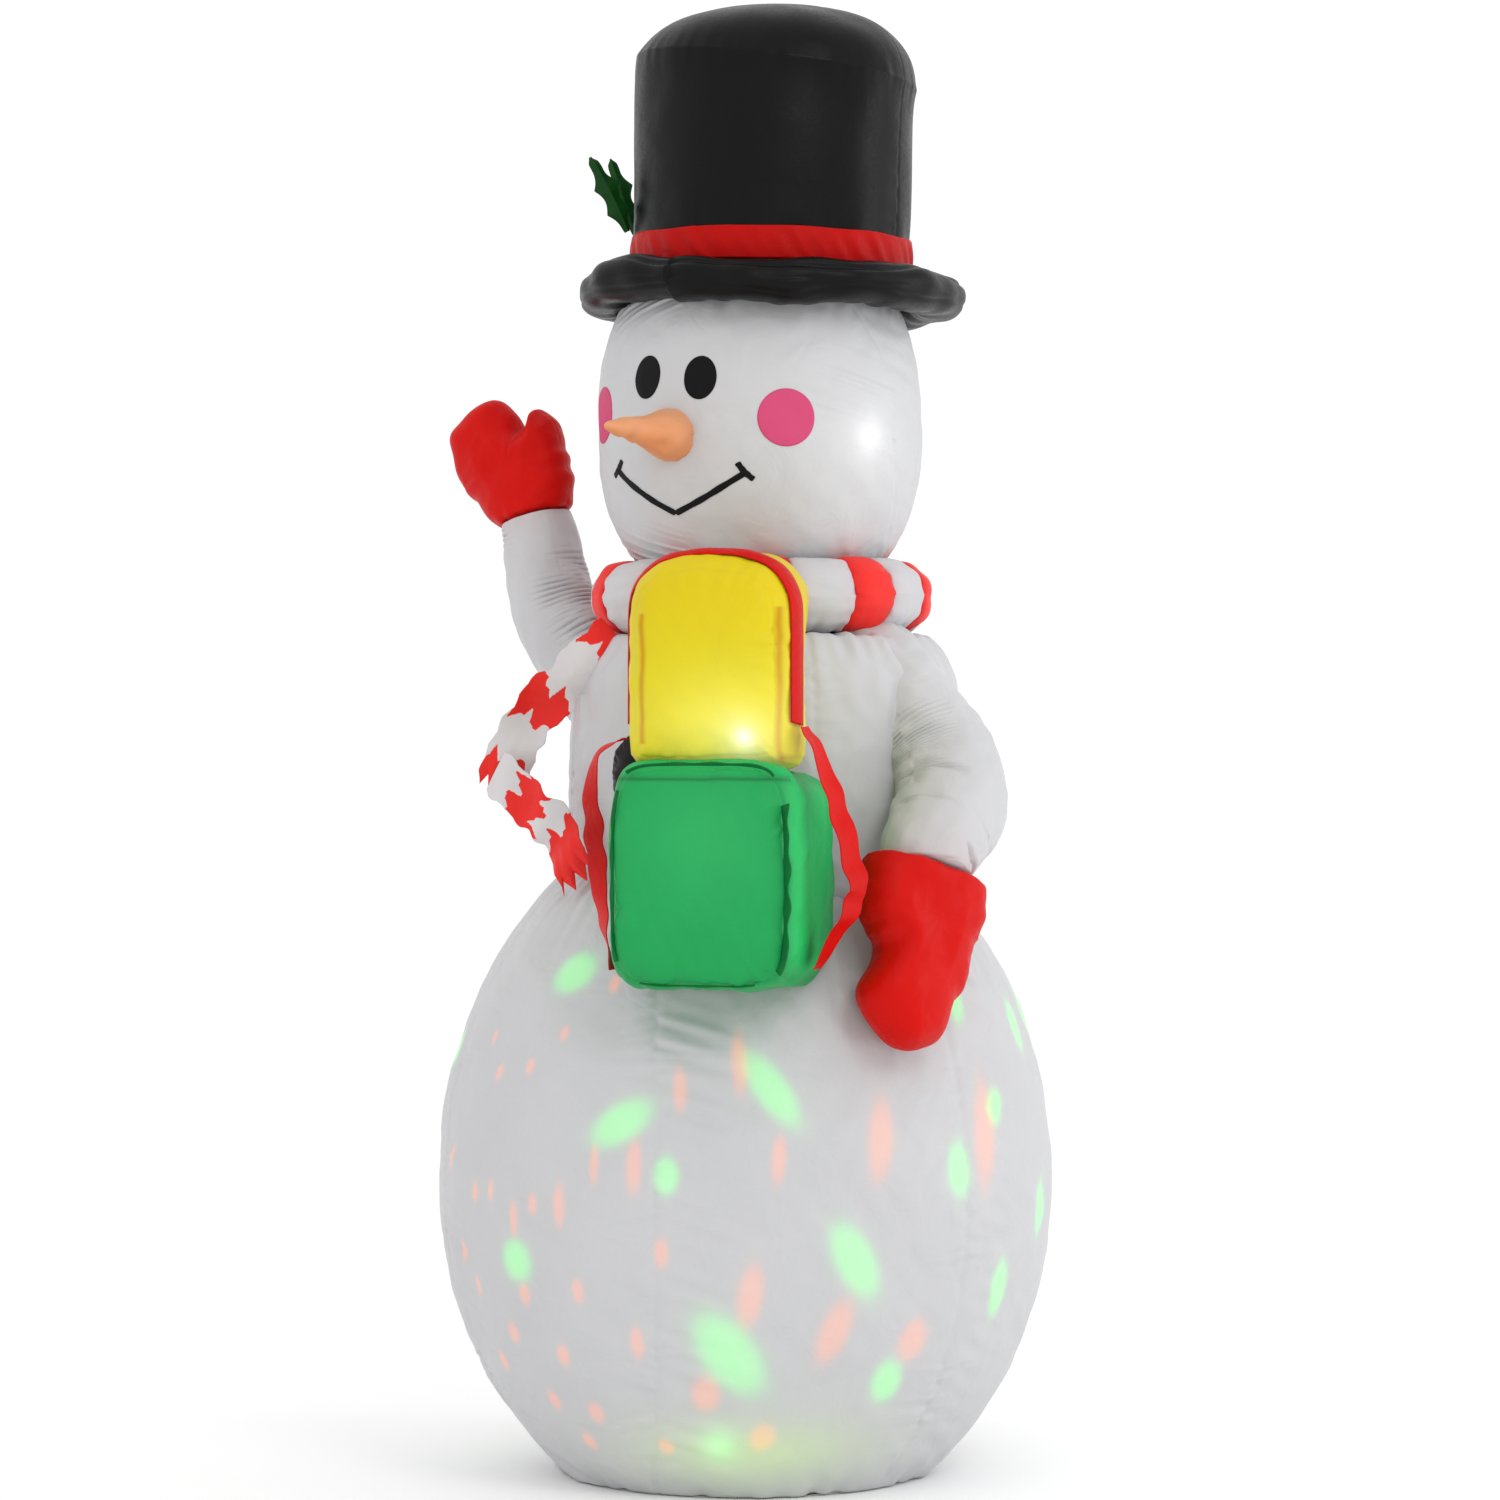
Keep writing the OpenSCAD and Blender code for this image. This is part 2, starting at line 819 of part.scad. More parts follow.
module motor_shaft() {
    color("lightgray") on_blower(motor_y + motor_len - 12) cylinder(h = 38, r = shaft_r);
}

impeller_y = 287;
impeller_h = 26;
hub_r = 18;

module impeller() {
    pitch = 38;
    color("white") on_blower(impeller_y) difference() {
        union() {
            cylinder(h = impeller_h - 6, r = hub_r);
            translate([0, 0, impeller_h - 6]) cylinder(h = 4, r1 = hub_r, r2 = hub_r - 5);
            intersection() {
                cylinder(h = impeller_h, r = impeller_r);
                for (i = [0 : blade_count - 1]) rotate([0, 0, 360 / blade_count * i])
                    translate([hub_r - 3, 0, impeller_h / 2 - 2]) rotate([90 - pitch, 0, 0])
                        translate([0, -11, -0.9]) cube([impeller_r, 22, 1.8]);
            }
        }
        translate([0, 0, -40]) cylinder(h = 90, r = shaft_r);
    }
}

sleeve_end_y = 348;

module blower_sleeve() {
    $fn = 180;
    color(white_skin) difference() {
        on_blower(290) ring(sleeve_end_y - 290, barrel_r + gap + 2 * skin, barrel_r + gap);
        ball_solid(-0.1);
    }
}

strap_y = 337;
strap_w = 9;
strap_t = 1.6;
buckle = [18, 11, 6];

// The strap round the sleeve, its ends sewn to the ball, with its buckle underneath.
module sleeve_strap() {
    strap_r = barrel_r + 2 * gap + 2 * skin;
    color("black") difference() {
        union() {
            on_blower(strap_y) ring(strap_w, strap_r + strap_t, strap_r);
            translate([-buckle[0] / 2, strap_y - 1, blower_z - strap_r - 1 - buckle[2]]) cube(buckle);
        }
        ball_solid(-0.1);
    }
}

// ---------------------------------------------------------------- projector

cup_foot_z = skin + 0.1;
cup_h = 32;
board_z = 26;

module at_projector(z) {
    translate([0, -projector_y, z]) children();
}

module projector_cup() {
    color("black") at_projector(cup_foot_z) difference() {
        cylinder(h = cup_h, r = dome_r + 2);
        translate([0, 0, board_z - cup_foot_z]) cylinder(h = 50, r = dome_r);
        translate([0, 0, 2]) cylinder(h = 50, r = dome_r - 3);
    }
}

module projector_motor() {
    color("silver") at_projector(cup_foot_z + 2) difference() {
        cylinder(h = 18, r = 12);
        translate([0, 0, 8]) cylinder(h = 30, r = 1.55);
    }
}

module projector_led_board() {
    color("forestgreen") at_projector(board_z) ring(1.6, dome_r - 0.1, 8);
}

module projector_leds() {
    color("lightyellow") at_projector(board_z + 1.6) for (i = [0 : 3]) rotate([0, 0, 45 + 90 * i])
        translate([22, 0, 0]) intersection() {
            sphere(r = 3.4, $fn = 32);
            cylinder(h = 10, r = 5);
        }
}

module projector_spindle() {
    color("silver") at_projector(cup_foot_z + 12) cylinder(h = 22, r = 1.5);
}

dome_foot_z = 35.4;

// A hollow dome studded with small round lenses, carried on a central post.
module projector_dome() {
    color("lightblue") at_projector(dome_foot_z) {
        rotate_extrude() intersection() {
            difference() {
                circle(r = dome_r);
                circle(r = dome_r - 2);
            }
            square(dome_r + 1);
        }
        for (row = [1 : 3], i = [0 : 4 + 4 * (3 - row)])
            rotate([0, 0, 360 * i / (5 + 4 * (3 - row))]) rotate([0, 90 - 23 * row, 0])
                translate([0, 0, dome_r - 1]) cylinder(h = 3, r = 4.4);
        translate([0, 0, -4]) difference() {
            cylinder(h = dome_r + 2.8, r = 4);
            translate([0, 0, -1]) cylinder(h = cup_foot_z + 34 - dome_foot_z + 5, r = 1.5);
        }
    }
}

// ---------------------------------------------------------------- lamps and wiring

head_lamp_at = [176, 2, 1278];
gift_lamp_at = gift_at + [24, -30, 892];
lamp_r = 10;
lamp_h = 26;

module lamp_body(at) {
    color("whitesmoke") translate(at) cylinder(h = lamp_h, r = lamp_r);
}

module lamp_lens(at) {
    color("white") translate(at + [0, 0, lamp_h]) {
        cylinder(h = 6, r = lamp_r - 1.5);
        translate([0, 0, 6]) intersection() {
            sphere(r = lamp_r - 1.5);
            cylinder(h = 20, r = lamp_r + 1);
        }
    }
}

module head_lamp_body() {
    lamp_body(head_lamp_at);
}

module head_lamp_lens() {
    lamp_lens(head_lamp_at);
}

module gift_lamp_body() {
    lamp_body(gift_lamp_at);
}

module gift_lamp_lens() {
    lamp_lens(gift_lamp_at);
}

// Sewn straps: one to the head's side wall, one down to the floor of the upper gift.
module lamp_straps() {
    color("black") {
        intersection() {
            translate(head_lamp_at + [lamp_r + 0.1, -9, 6]) cube([60, 18, 1.5]);
            head_solid(skin + 0.1);
        }
        translate([gift_lamp_at[0] - 9, gift_lamp_at[1] + lamp_r + 0.1, gift_seam_z + gap + skin + 0.1])
            cube([18, 1.5, 30]);
    }
}

splitter_at = [0, 205, 60];
splitter_size = [26, 14, 14];
lead_t = 5;
port_from = [40, -150, 905];
port_to = gift_lamp_at + [0, 24, -6];

// The block that joins the leads, with a pocket at each lead's end.
module harness_splitter() {
    ends = [route_motor[len(route_motor) - 1], route_projector[0], route_head[0], route_gift[0]];
    color("black") difference() {
        translate(splitter_at) cube(splitter_size, center = true);
        for (end = ends) translate(end) sphere(r = lead_t / 2 + gap);
    }
}

// The hole through the torso's and the upper gift's walls for the gift lamp's lead.
module lead_port() {
    limb(port_from, port_to, lead_t / 2 + 1.5, lead_t / 2 + 1.5);
}

// Points chosen by hand along the inside of the envelope.
route_motor = [[0, 241.9, 125], [0, 232, 123], [0, 222, 108], [0, 216, 86], [0, 212, 67.1]];
route_projector = [[0, 197.9, 58], [2, 170, 40], [8, 120, 14], [6, 60, 10], [0, 10, 14], [0, -29.9, 16]];
route_head = [[8, 204, 67.1], [9, 210, 110], [10, 250, 250], [12, 236, 450], [16, 150, 650],
    [24, 92, 790], [30, 84, 850], [34, 60, 1000], [38, 30, 1080], [44, 20, 1140], [80, 6, 1180],
    [150, 2, 1215], [176, 2, 1250], [176, 2, 1277.9]];
route_gift = [[-8, 204, 67.1], [-8, 210, 110], [-8, 248, 250], [-6, 228, 450], [0, 130, 650],
    [10, 70, 790], [8, 20, 850], port_from - 0.3 * (port_to - port_from), port_from, port_to,
    gift_lamp_at + [0, 13, -7], gift_lamp_at + [0, 3, -6], gift_lamp_at + [0, 0, -0.1]];

// Catmull-Rom point between path[i] and path[i + 1].
function spline_point(path, i, f) =
    let (
        a = path[max(i - 1, 0)], b = path[i], c = path[i + 1],
        d = path[min(i + 2, len(path) - 1)]
    )
    0.5 * (2 * b + (c - a) * f + (2 * a - 5 * b + 4 * c - d) * f * f
        + (3 * b - a - 3 * c + d) * f * f * f);

function spline(path, n) = concat(
    [for (i = [0 : len(path) - 2], k = [0 : n - 1]) spline_point(path, i, k / n)],
    [path[len(path) - 1]]
);

// A ring of points round pts[i], whose fourth value is the ring's radius.
function ring_at(pts, i, sides) =
    let (
        step = pts[min(i + 1, len(pts) - 1)] - pts[max(i - 1, 0)],
        t = unit([step[0], step[1], step[2]]),
        u = unit(cross(t, [1, 0, 0])),
        v = cross(t, u),
        at = [pts[i][0], pts[i][1], pts[i][2]]
    )
    [for (k = [0 : sides - 1])
        at + pts[i][3] * (cos(360 * k / sides) * u + sin(360 * k / sides) * v)];

// A round tube swept through [x, y, z, radius] points.
module swept_tube(path, steps, sides) {
    pts = spline(path, steps);
    n = len(pts);
    polyhedron(
        points = [for (i = [0 : n - 1]) each ring_at(pts, i, sides)],
        faces = concat(
            [[for (k = [0 : sides - 1]) k]],
            [for (i = [0 : n - 2], k = [0 : sides - 1])
                [i * sides + k, (i + 1) * sides + k, (i + 1) * sides + (k + 1) % sides]],
            [for (i = [0 : n - 2], k = [0 : sides - 1])
                [i * sides + k, (i + 1) * sides + (k + 1) % sides, i * sides + (k + 1) % sides]],
            [[for (k = [sides - 1 : -1 : 0]) (n - 1) * sides + k]]
        )
    );
}

// One round lead along a route.
module lead(route, steps) {
    swept_tube([for (p = route) [p[0], p[1], p[2], lead_t / 2]], steps, 8);
}

module wiring_harness() {
    color("black") {
        lead(route_motor, 2);
        lead(route_projector, 3);
        lead(route_head, 3);
        lead(route_gift, 3);
    }
}

// ---------------------------------------------------------------- base

module ballast_bags() {
    bag_r = 50;
    bag_h = 12;
    color("khaki") for (side = [-1, 1])
        translate([side * 128, 20, cup_foot_z + bag_h]) rotate_extrude()
            polygon(concat([[0, -bag_h]], bow(bag_r, bag_h, 0, 2.6, -90, 90, 16)));
}

tab_slope = 25;
tab_root = [250, 0, 30];
tab_len = 48;
tab_half_w = 22;
tab_t = 2;
grommet_r = 7;
grommet_lip = 0.9;

// Places children in the plane of each stake tab, with +X running down and outwards.
module at_tabs() {
    for (side = [-1, 1]) rotate([0, 0, 90 + side * stake_az]) translate(tab_root)
        rotate([0, tab_slope, 0]) children();
}

module stake_tabs() {
    color("black") difference() {
        at_tabs() difference() {
            translate([0, 0, -tab_t / 2]) linear_extrude(tab_t) union() {
                translate([-20, -tab_half_w]) square([tab_len + 20, 2 * tab_half_w]);
                translate([tab_len, 0]) circle(r = tab_half_w);
            }
            translate([tab_len, 0, -5]) cylinder(h = 10, r = grommet_r);
        }
        ball_solid(-0.1);
    }
}

module stake_grommets() {
    color("goldenrod") at_tabs() translate([tab_len, 0, 0]) difference() {
        union() {
            cylinder(h = tab_t, r = grommet_r, center = true);
            for (side = [-1, 1]) translate([0, 0, side * (tab_t + grommet_lip) / 2])
                cylinder(h = grommet_lip, r = grommet_r + 4, center = true);
        }
        cylinder(h = 20, r = grommet_bore_r, center = true);
    }
}

// ---------------------------------------------------------------- deflation zip

tape_r = 381.5;
tape_half_h = 12;
zip_slot = 0.9;
coil_h = 2.4;
slider_angle = 2.6;

// An arc centred on the back, between two radii and two heights about the zip.
module zip_sector(half_angle, r0, r1, z0, z1) {
    translate([0, 0, zip_z]) rotate([0, 0, 90 - half_angle])
        rotate_extrude(angle = 2 * half_angle) translate([r0, z0]) square([r1 - r0, z1 - z0]);
}

module zip_half(side) {
    near = side * zip_slot;
    far = side * tape_half_h;
    coil = side * (zip_slot + coil_h);
    color("dimgray") union() {
        zip_sector(zip_half_angle + 3, tape_r, tape_r + 1, min(near, far), max(near, far));
        zip_sector(zip_half_angle, tape_r - 0.9, tape_r + 1.9, min(near, coil), max(near, coil));
    }
}

module zip_tape_upper() {
    zip_half(1);
}

module zip_tape_lower() {
    zip_half(-1);
}

// Blocks that clip the two tapes together past each end of the slot.
module zip_stops() {
    stop_angle = 0.8;
    color("silver") for (side = [-1, 1])
        rotate([0, 0, side * (zip_half_angle + stop_angle + 0.1)])
            zip_sector(stop_angle, tape_r + 1.1, tape_r + 3, -5, 5);
}

slider_half_h = 6;
pull_r = 389;
pull_z = zip_z - 3;
pin_r = 0.8;
lug_x = 4;

// The zip stands closed, so the slider rests near one end of its arc.
closed_angle = zip_half_angle - 2.2;

// The slider: a wing outside, a wing inside, a post between them, and lugs for the pull.
module zip_slider() {
    color("silver") rotate([0, 0, closed_angle]) union() {
        zip_sector(slider_angle / 2, tape_r + 2.3, tape_r + 3.8, -slider_half_h, slider_half_h);
        zip_sector(slider_angle / 2, tape_r - 2.8, tape_r - 1.3, -slider_half_h, slider_half_h);
        zip_sector(0.3, tape_r - 1.4, tape_r + 2.4, -0.5, 0.5);
        for (side = [-1, 1]) translate([side * lug_x, 0, pull_z]) rotate([0, 90, 0])
            linear_extrude(1.6, center = true) {
                translate([0, pull_r]) circle(r = 2.2);
                translate([-2.2, tape_r + 2.6]) square([4.4, pull_r - tape_r - 2.6]);
            }
        translate([0, pull_r, pull_z]) rotate([0, 90, 0])
            cylinder(h = 2 * lug_x, r = pin_r, center = true);
    }
}

module zip_pull() {
    tab_w = 5;
    tab_drop = 30;
    color("silver") rotate([0, 0, closed_angle]) difference() {
        union() {
            translate([0, pull_r, pull_z]) rotate([0, 90, 0])
                cylinder(h = tab_w, r = 1.9, center = true);
            translate([-tab_w / 2, pull_r - 0.6, pull_z - tab_drop + 4])
                cube([tab_w, 1.2, tab_drop - 5]);
            translate([0, pull_r + 0.6, pull_z - tab_drop + 4]) rotate([90, 0, 0])
                cylinder(h = 1.2, r = 5);
        }
        translate([0, pull_r, pull_z]) rotate([0, 90, 0])
            cylinder(h = 20, r = pin_r + 0.06, center = true);
        translate([0, pull_r + 5, pull_z - tab_drop + 4]) rotate([90, 0, 0]) cylinder(h = 10, r = 2.4);
    }
}

lower_ball();
base_panel();
torso();
head();
nose();
eyes();
cheeks();
mouth();
hat_crown();
hat_brim();
hat_band();
holly_leaves();
scarf_collar_red();
scarf_collar_white();
scarf_tail_red();
scarf_tail_white();
right_arm();
right_mitten();
left_arm();
left_mitten();
gift_green();
gift_yellow();
gift_green_ribbon();
gift_yellow_ribbon();
coal_button();
blower_sleeve();
sleeve_strap();
blower_intake_shell();
blower_outlet_shell();
intake_grille();
motor_spider();
motor_can();
motor_shaft();
impeller();
housing_screws();
lead_gland();
projector_cup();
projector_motor();
projector_led_board();
projector_leds();
projector_spindle();
projector_dome();
head_lamp_body();
head_lamp_lens();
gift_lamp_body();
gift_lamp_lens();
lamp_straps();
harness_splitter();
wiring_harness();
ballast_bags();
zip_tape_upper();
zip_tape_lower();
zip_stops();
zip_slider();
zip_pull();
stake_tabs();
stake_grommets();
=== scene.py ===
# Inflatable yard snowman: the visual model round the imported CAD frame. Metres, row frame, +Z up, face along -Y.
import json
import math

import bmesh
import bpy
import numpy as np
from mathutils import Matrix, Vector
from mathutils.geometry import tessellate_polygon


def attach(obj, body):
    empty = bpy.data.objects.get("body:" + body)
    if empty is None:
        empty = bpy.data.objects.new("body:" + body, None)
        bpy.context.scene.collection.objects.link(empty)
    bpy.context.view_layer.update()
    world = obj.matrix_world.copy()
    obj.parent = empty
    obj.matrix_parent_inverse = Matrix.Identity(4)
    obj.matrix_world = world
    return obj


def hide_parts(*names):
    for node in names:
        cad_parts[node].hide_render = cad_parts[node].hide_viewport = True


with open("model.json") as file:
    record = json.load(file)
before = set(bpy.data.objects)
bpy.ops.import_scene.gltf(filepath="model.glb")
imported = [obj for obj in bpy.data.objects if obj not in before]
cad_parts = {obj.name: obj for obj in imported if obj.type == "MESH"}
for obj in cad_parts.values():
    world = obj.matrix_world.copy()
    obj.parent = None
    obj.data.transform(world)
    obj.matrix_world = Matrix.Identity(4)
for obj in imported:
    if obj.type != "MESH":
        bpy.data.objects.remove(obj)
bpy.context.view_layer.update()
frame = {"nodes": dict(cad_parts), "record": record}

LEAN = math.radians(32)
RIGHT = np.array([math.cos(LEAN), math.sin(LEAN), 0.0])
TOWARD = np.array([math.sin(LEAN), -math.cos(LEAN), 0.0])
UP = np.array([0.0, 0.0, 1.0])
TAU = 2 * math.pi
DARK = (0.0, 0.0, 0.0)


# ------------------------------------------------------------------ number helpers
def waves(points, length, seed, count=16):
    """Smooth seeded noise of about unit size, with features of about that length."""
    rng = np.random.default_rng(seed)
    k = rng.normal(size=(count, 3))
    k *= (TAU / length) * rng.uniform(0.6, 1.5, (count, 1)) / np.linalg.norm(k, axis=1, keepdims=True)
    phase = rng.uniform(0, TAU, count)
    flat = np.asarray(points, float).reshape(-1, 3)
    out = np.zeros(len(flat))
    for i in range(count):
        out += np.sin(flat @ k[i] + phase[i])
    return (out / math.sqrt(count / 2)).reshape(np.shape(points)[:-1])


def ripple(s, pitch, seed, count=8):
    """Smooth seeded noise along one coordinate, in about -1 to 1."""
    rng = np.random.default_rng(seed)
    out = np.zeros(np.shape(s))
    for _ in range(count):
        out += np.sin(s * TAU / (pitch * rng.uniform(0.65, 1.6)) + rng.uniform(0, TAU))
    return out / math.sqrt(count)


def seam(d, s, depth, reach, pitch, seed):
    """The height of cloth beside a seam: a groove at d = 0, and puckers that run across it and die away."""
    side = np.where(d > 0, 0.37, 0.0) * pitch * 9
    slant = s + 0.35 * np.abs(d) * ripple(s, reach * 3, seed + 1)
    folds = ripple(slant + side, pitch, seed) * (0.45 + 0.55 * np.tanh(1.5 * ripple(s, pitch * 9, seed + 2)))
    fade = np.exp(-((np.abs(d) / reach) ** 1.2))
    return -0.8 * depth * np.exp(-((d / (0.13 * reach)) ** 2)) + 0.7 * depth * fade * folds


def normals(p, wrap=True):
    across = np.roll(p, -1, 1) - np.roll(p, 1, 1) if wrap else np.gradient(p, axis=1)
    n = np.cross(across, np.gradient(p, axis=0))
    return n / np.maximum(np.linalg.norm(n, axis=-1, keepdims=True), 1e-12)


def smooth_path(points, per=12):
    """Catmull-Rom through the points, of any width."""
    pts = np.asarray(points, float)
    pts = np.vstack([2 * pts[0] - pts[1], pts, 2 * pts[-1] - pts[-2]])
    out = []
    for i in range(1, len(pts) - 2):
        a, b, c, d = pts[i - 1 : i + 3]
        for f in np.arange(per) / per:
            out.append(
                0.5 * (2 * b + (c - a) * f + (2 * a - 5 * b + 4 * c - d) * f**2 + (3 * b - a - 3 * c + d) * f**3)
            )
    out.append(pts[-2])
    return np.array(out)


def even(path, count):
    """The path resampled at equal steps of its first three values."""
    path = np.asarray(path, float)
    s = np.r_[0, np.cumsum(np.linalg.norm(np.diff(path[:, :3], axis=0), axis=1))]
    t = np.linspace(0, s[-1], count)
    return np.stack([np.interp(t, s, path[:, i]) for i in range(path.shape[1])], 1)


def unit(v):
    v = np.asarray(v, float)
    return v / np.maximum(np.linalg.norm(v, axis=-1, keepdims=True), 1e-12)


def frames_along(path):
    """Tangent and two side directions at each point, carried without twist."""
    t = unit(np.gradient(path[:, :3], axis=0))
    u = unit(np.cross(t[0], [1.0, 0.02, 0.01]))
    us = [u]
    for i in range(1, len(t)):
        u = u - t[i] * (u @ t[i])
        u = u / np.linalg.norm(u)
        us.append(u)
    us = np.array(us)
    return t, us, np.cross(t, us)


def around(count):
    """That many equal steps round a circle."""
    return np.linspace(0, TAU, count, endpoint=False)


def dying(d, width):
    """1 at nothing, and dying away over that width."""
    return np.exp(-np.clip(d, 0, 1) / width)


def bell(d, width):
    return np.exp(-((d / width) ** 2))


# ------------------------------------------------------------------ mesh helpers
def finish_piece(obj, material, nodes=(), body="root", smooth=True):
    for m in material if isinstance(material, (list, tuple)) else [material]:
        obj.data.materials.append(m)
    if smooth:
        obj.data.polygons.foreach_set("use_smooth", [True] * len(obj.data.polygons))
    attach(obj, body)
    if nodes:
        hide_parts(*nodes)
    return obj


def paint_points(me, paint):
    """Colours kept on the mesh's points, which the cloth materials read as tint and glow; the tint holds the colour
    with painted shade and painted light mixed in, the glow holds painted light.
    """
    for key, value in paint.items():
        rgba = np.ones((len(me.vertices), 4), np.float32)
        rgba[:, :3] = np.broadcast_to(np.asarray(value, float).reshape(-1, 3), (len(me.vertices), 3))
        me.color_attributes.new(key, "FLOAT_COLOR", "POINT").data.foreach_set("color", rgba.ravel())


def make(name, verts, faces, paint=None):
    me = bpy.data.meshes.new(name)
    me.from_pydata(np.asarray(verts, float).reshape(-1, 3).tolist(), [], faces)
    paint_points(me, paint or {})
    me.validate()
    me.update()
    obj = bpy.data.objects.new(name, me)
    bpy.context.scene.collection.objects.link(obj)
    return obj


def loft(name, p, ends="closed", paint=None):
    """A surface through closed rings of points, its ends "closed" by caps, "open", or "joined" to each other."""
    rows, cols = p.shape[:2]
    i = np.arange(rows * cols).reshape(rows, cols)
    if ends == "joined":
        i = np.concatenate([i, i[:1]], 0)
    j = np.roll(i, -1, 1)
    faces = np.stack([i[:-1], j[:-1], j[1:], i[1:]], -1).reshape(-1, 4).tolist()
    if ends == "closed":
        faces += [i[0, ::-1].tolist(), i[-1].tolist()]
    return make(name, p, faces, paint)


def shell(name, p, thick, paint=None, material_of=None):
    """An open grid of points as cloth of that thickness, closed round its rim."""
    n = normals(p, wrap=False)
    rows, cols = p.shape[:2]
    i = np.arange(rows * cols).reshape(rows, cols)
    j = i + rows * cols
    front = np.stack([i[:-1, :-1], i[:-1, 1:], i[1:, 1:], i[1:, :-1]], -1).reshape(-1, 4)
    back = np.stack([j[:-1, :-1], j[1:, :-1], j[1:, 1:], j[:-1, 1:]], -1).reshape(-1, 4)
    ring = np.r_[i[0, :-1], i[:-1, -1], i[-1, :0:-1], i[:0:-1, 0]]
    nxt = np.roll(ring, -1)
    rim = np.stack([ring, ring + rows * cols, nxt + rows * cols, nxt], -1)
    faces = np.vstack([front, back, rim])
    both = {k: np.vstack([np.asarray(v).reshape(-1, 3)] * 2) for k, v in (paint or {}).items()}
    obj = make(name, np.vstack([(p + n * thick / 2).reshape(-1, 3), (p - n * thick / 2).reshape(-1, 3)]),
               faces.tolist(), both)
    if material_of is not None:
        grid = np.asarray(material_of, int)
        round_rim = np.r_[grid[0], grid[:, -1], grid[-1, ::-1], grid[::-1, 0]][: len(rim)]
        index = np.r_[grid.ravel(), grid.ravel(), round_rim].astype(np.int32)
        obj.data.polygons.foreach_set("material_index", index)
    return obj


def points_of(obj):
    return np.array([v.co for v in obj.data.vertices], float)


def move_points(obj, points):
    obj.data.vertices.foreach_set("co", points.ravel())
    obj.data.update()


def outward_faces(obj, flat_angle=None):
    """Turns every face outwards, and joins the flat ones where an angle is given."""
    bm = bmesh.new()
    bm.from_mesh(obj.data)
    bmesh.ops.recalc_face_normals(bm, faces=bm.faces)
    if flat_angle:
        bmesh.ops.dissolve_limit(bm, angle_limit=flat_angle, verts=bm.verts, edges=bm.edges)
    bm.to_mesh(obj.data)
    bm.free()


def cut_away(obj, tool):
    """Takes the tool's closed shape out of the object, and the tool out of the scene."""
    m = obj.modifiers.new("cut", "BOOLEAN")
    m.operation, m.object, m.solver = "DIFFERENCE", tool, "EXACT"
    evaluated(obj)
    bpy.data.objects.remove(tool)


def evaluated(obj):
    """The object's mesh with its modifiers applied, put back on the object."""
    bpy.context.view_layer.update()
    dg = bpy.context.evaluated_depsgraph_get()
    me = bpy.data.meshes.new_from_object(obj.evaluated_get(dg), preserve_all_data_layers=True, depsgraph=dg)
    obj.modifiers.clear()
    obj.data = me
    return obj


# ------------------------------------------------------------------ materials
def rgb(r, g, b):
    """sRGB 0-255 to linear."""
    out = []
    for c in (r, g, b):
        c = c / 255
        out.append(c / 12.92 if c <= 0.04045 else ((c + 0.055) / 1.055) ** 2.4)
    return tuple(out)


def new_material(name):
    m = bpy.data.materials.new(name)
    m.use_nodes = True
    nt = m.node_tree
    return m, nt, nt.nodes["Principled BSDF"]


def node(nt, kind, inputs=None, **props):
    n = nt.nodes.new(kind)
    for k, v in props.items():
        setattr(n, k, v)
    for k, v in (inputs or {}).items():
        if isinstance(v, bpy.types.NodeSocket):
            nt.links.new(v, n.inputs[k])
        else:
            n.inputs[k].default_value = v
    return n


def height_to_normal(nt, bsdf, height):
    """The height, in metres, as the shader's normal."""
    b = node(nt, "ShaderNodeBump", {"Height": height, "Distance": 1.0, "Strength": 1.0})
    nt.links.new(b.outputs["Normal"], bsdf.inputs["Normal"])


def maths(nt, op, a, b=0.0, c=None):
    inputs = {0: a, 1: b}
    if c is not None:
        inputs[2] = c
    return node(nt, "ShaderNodeMath", inputs, operation=op).outputs[0]


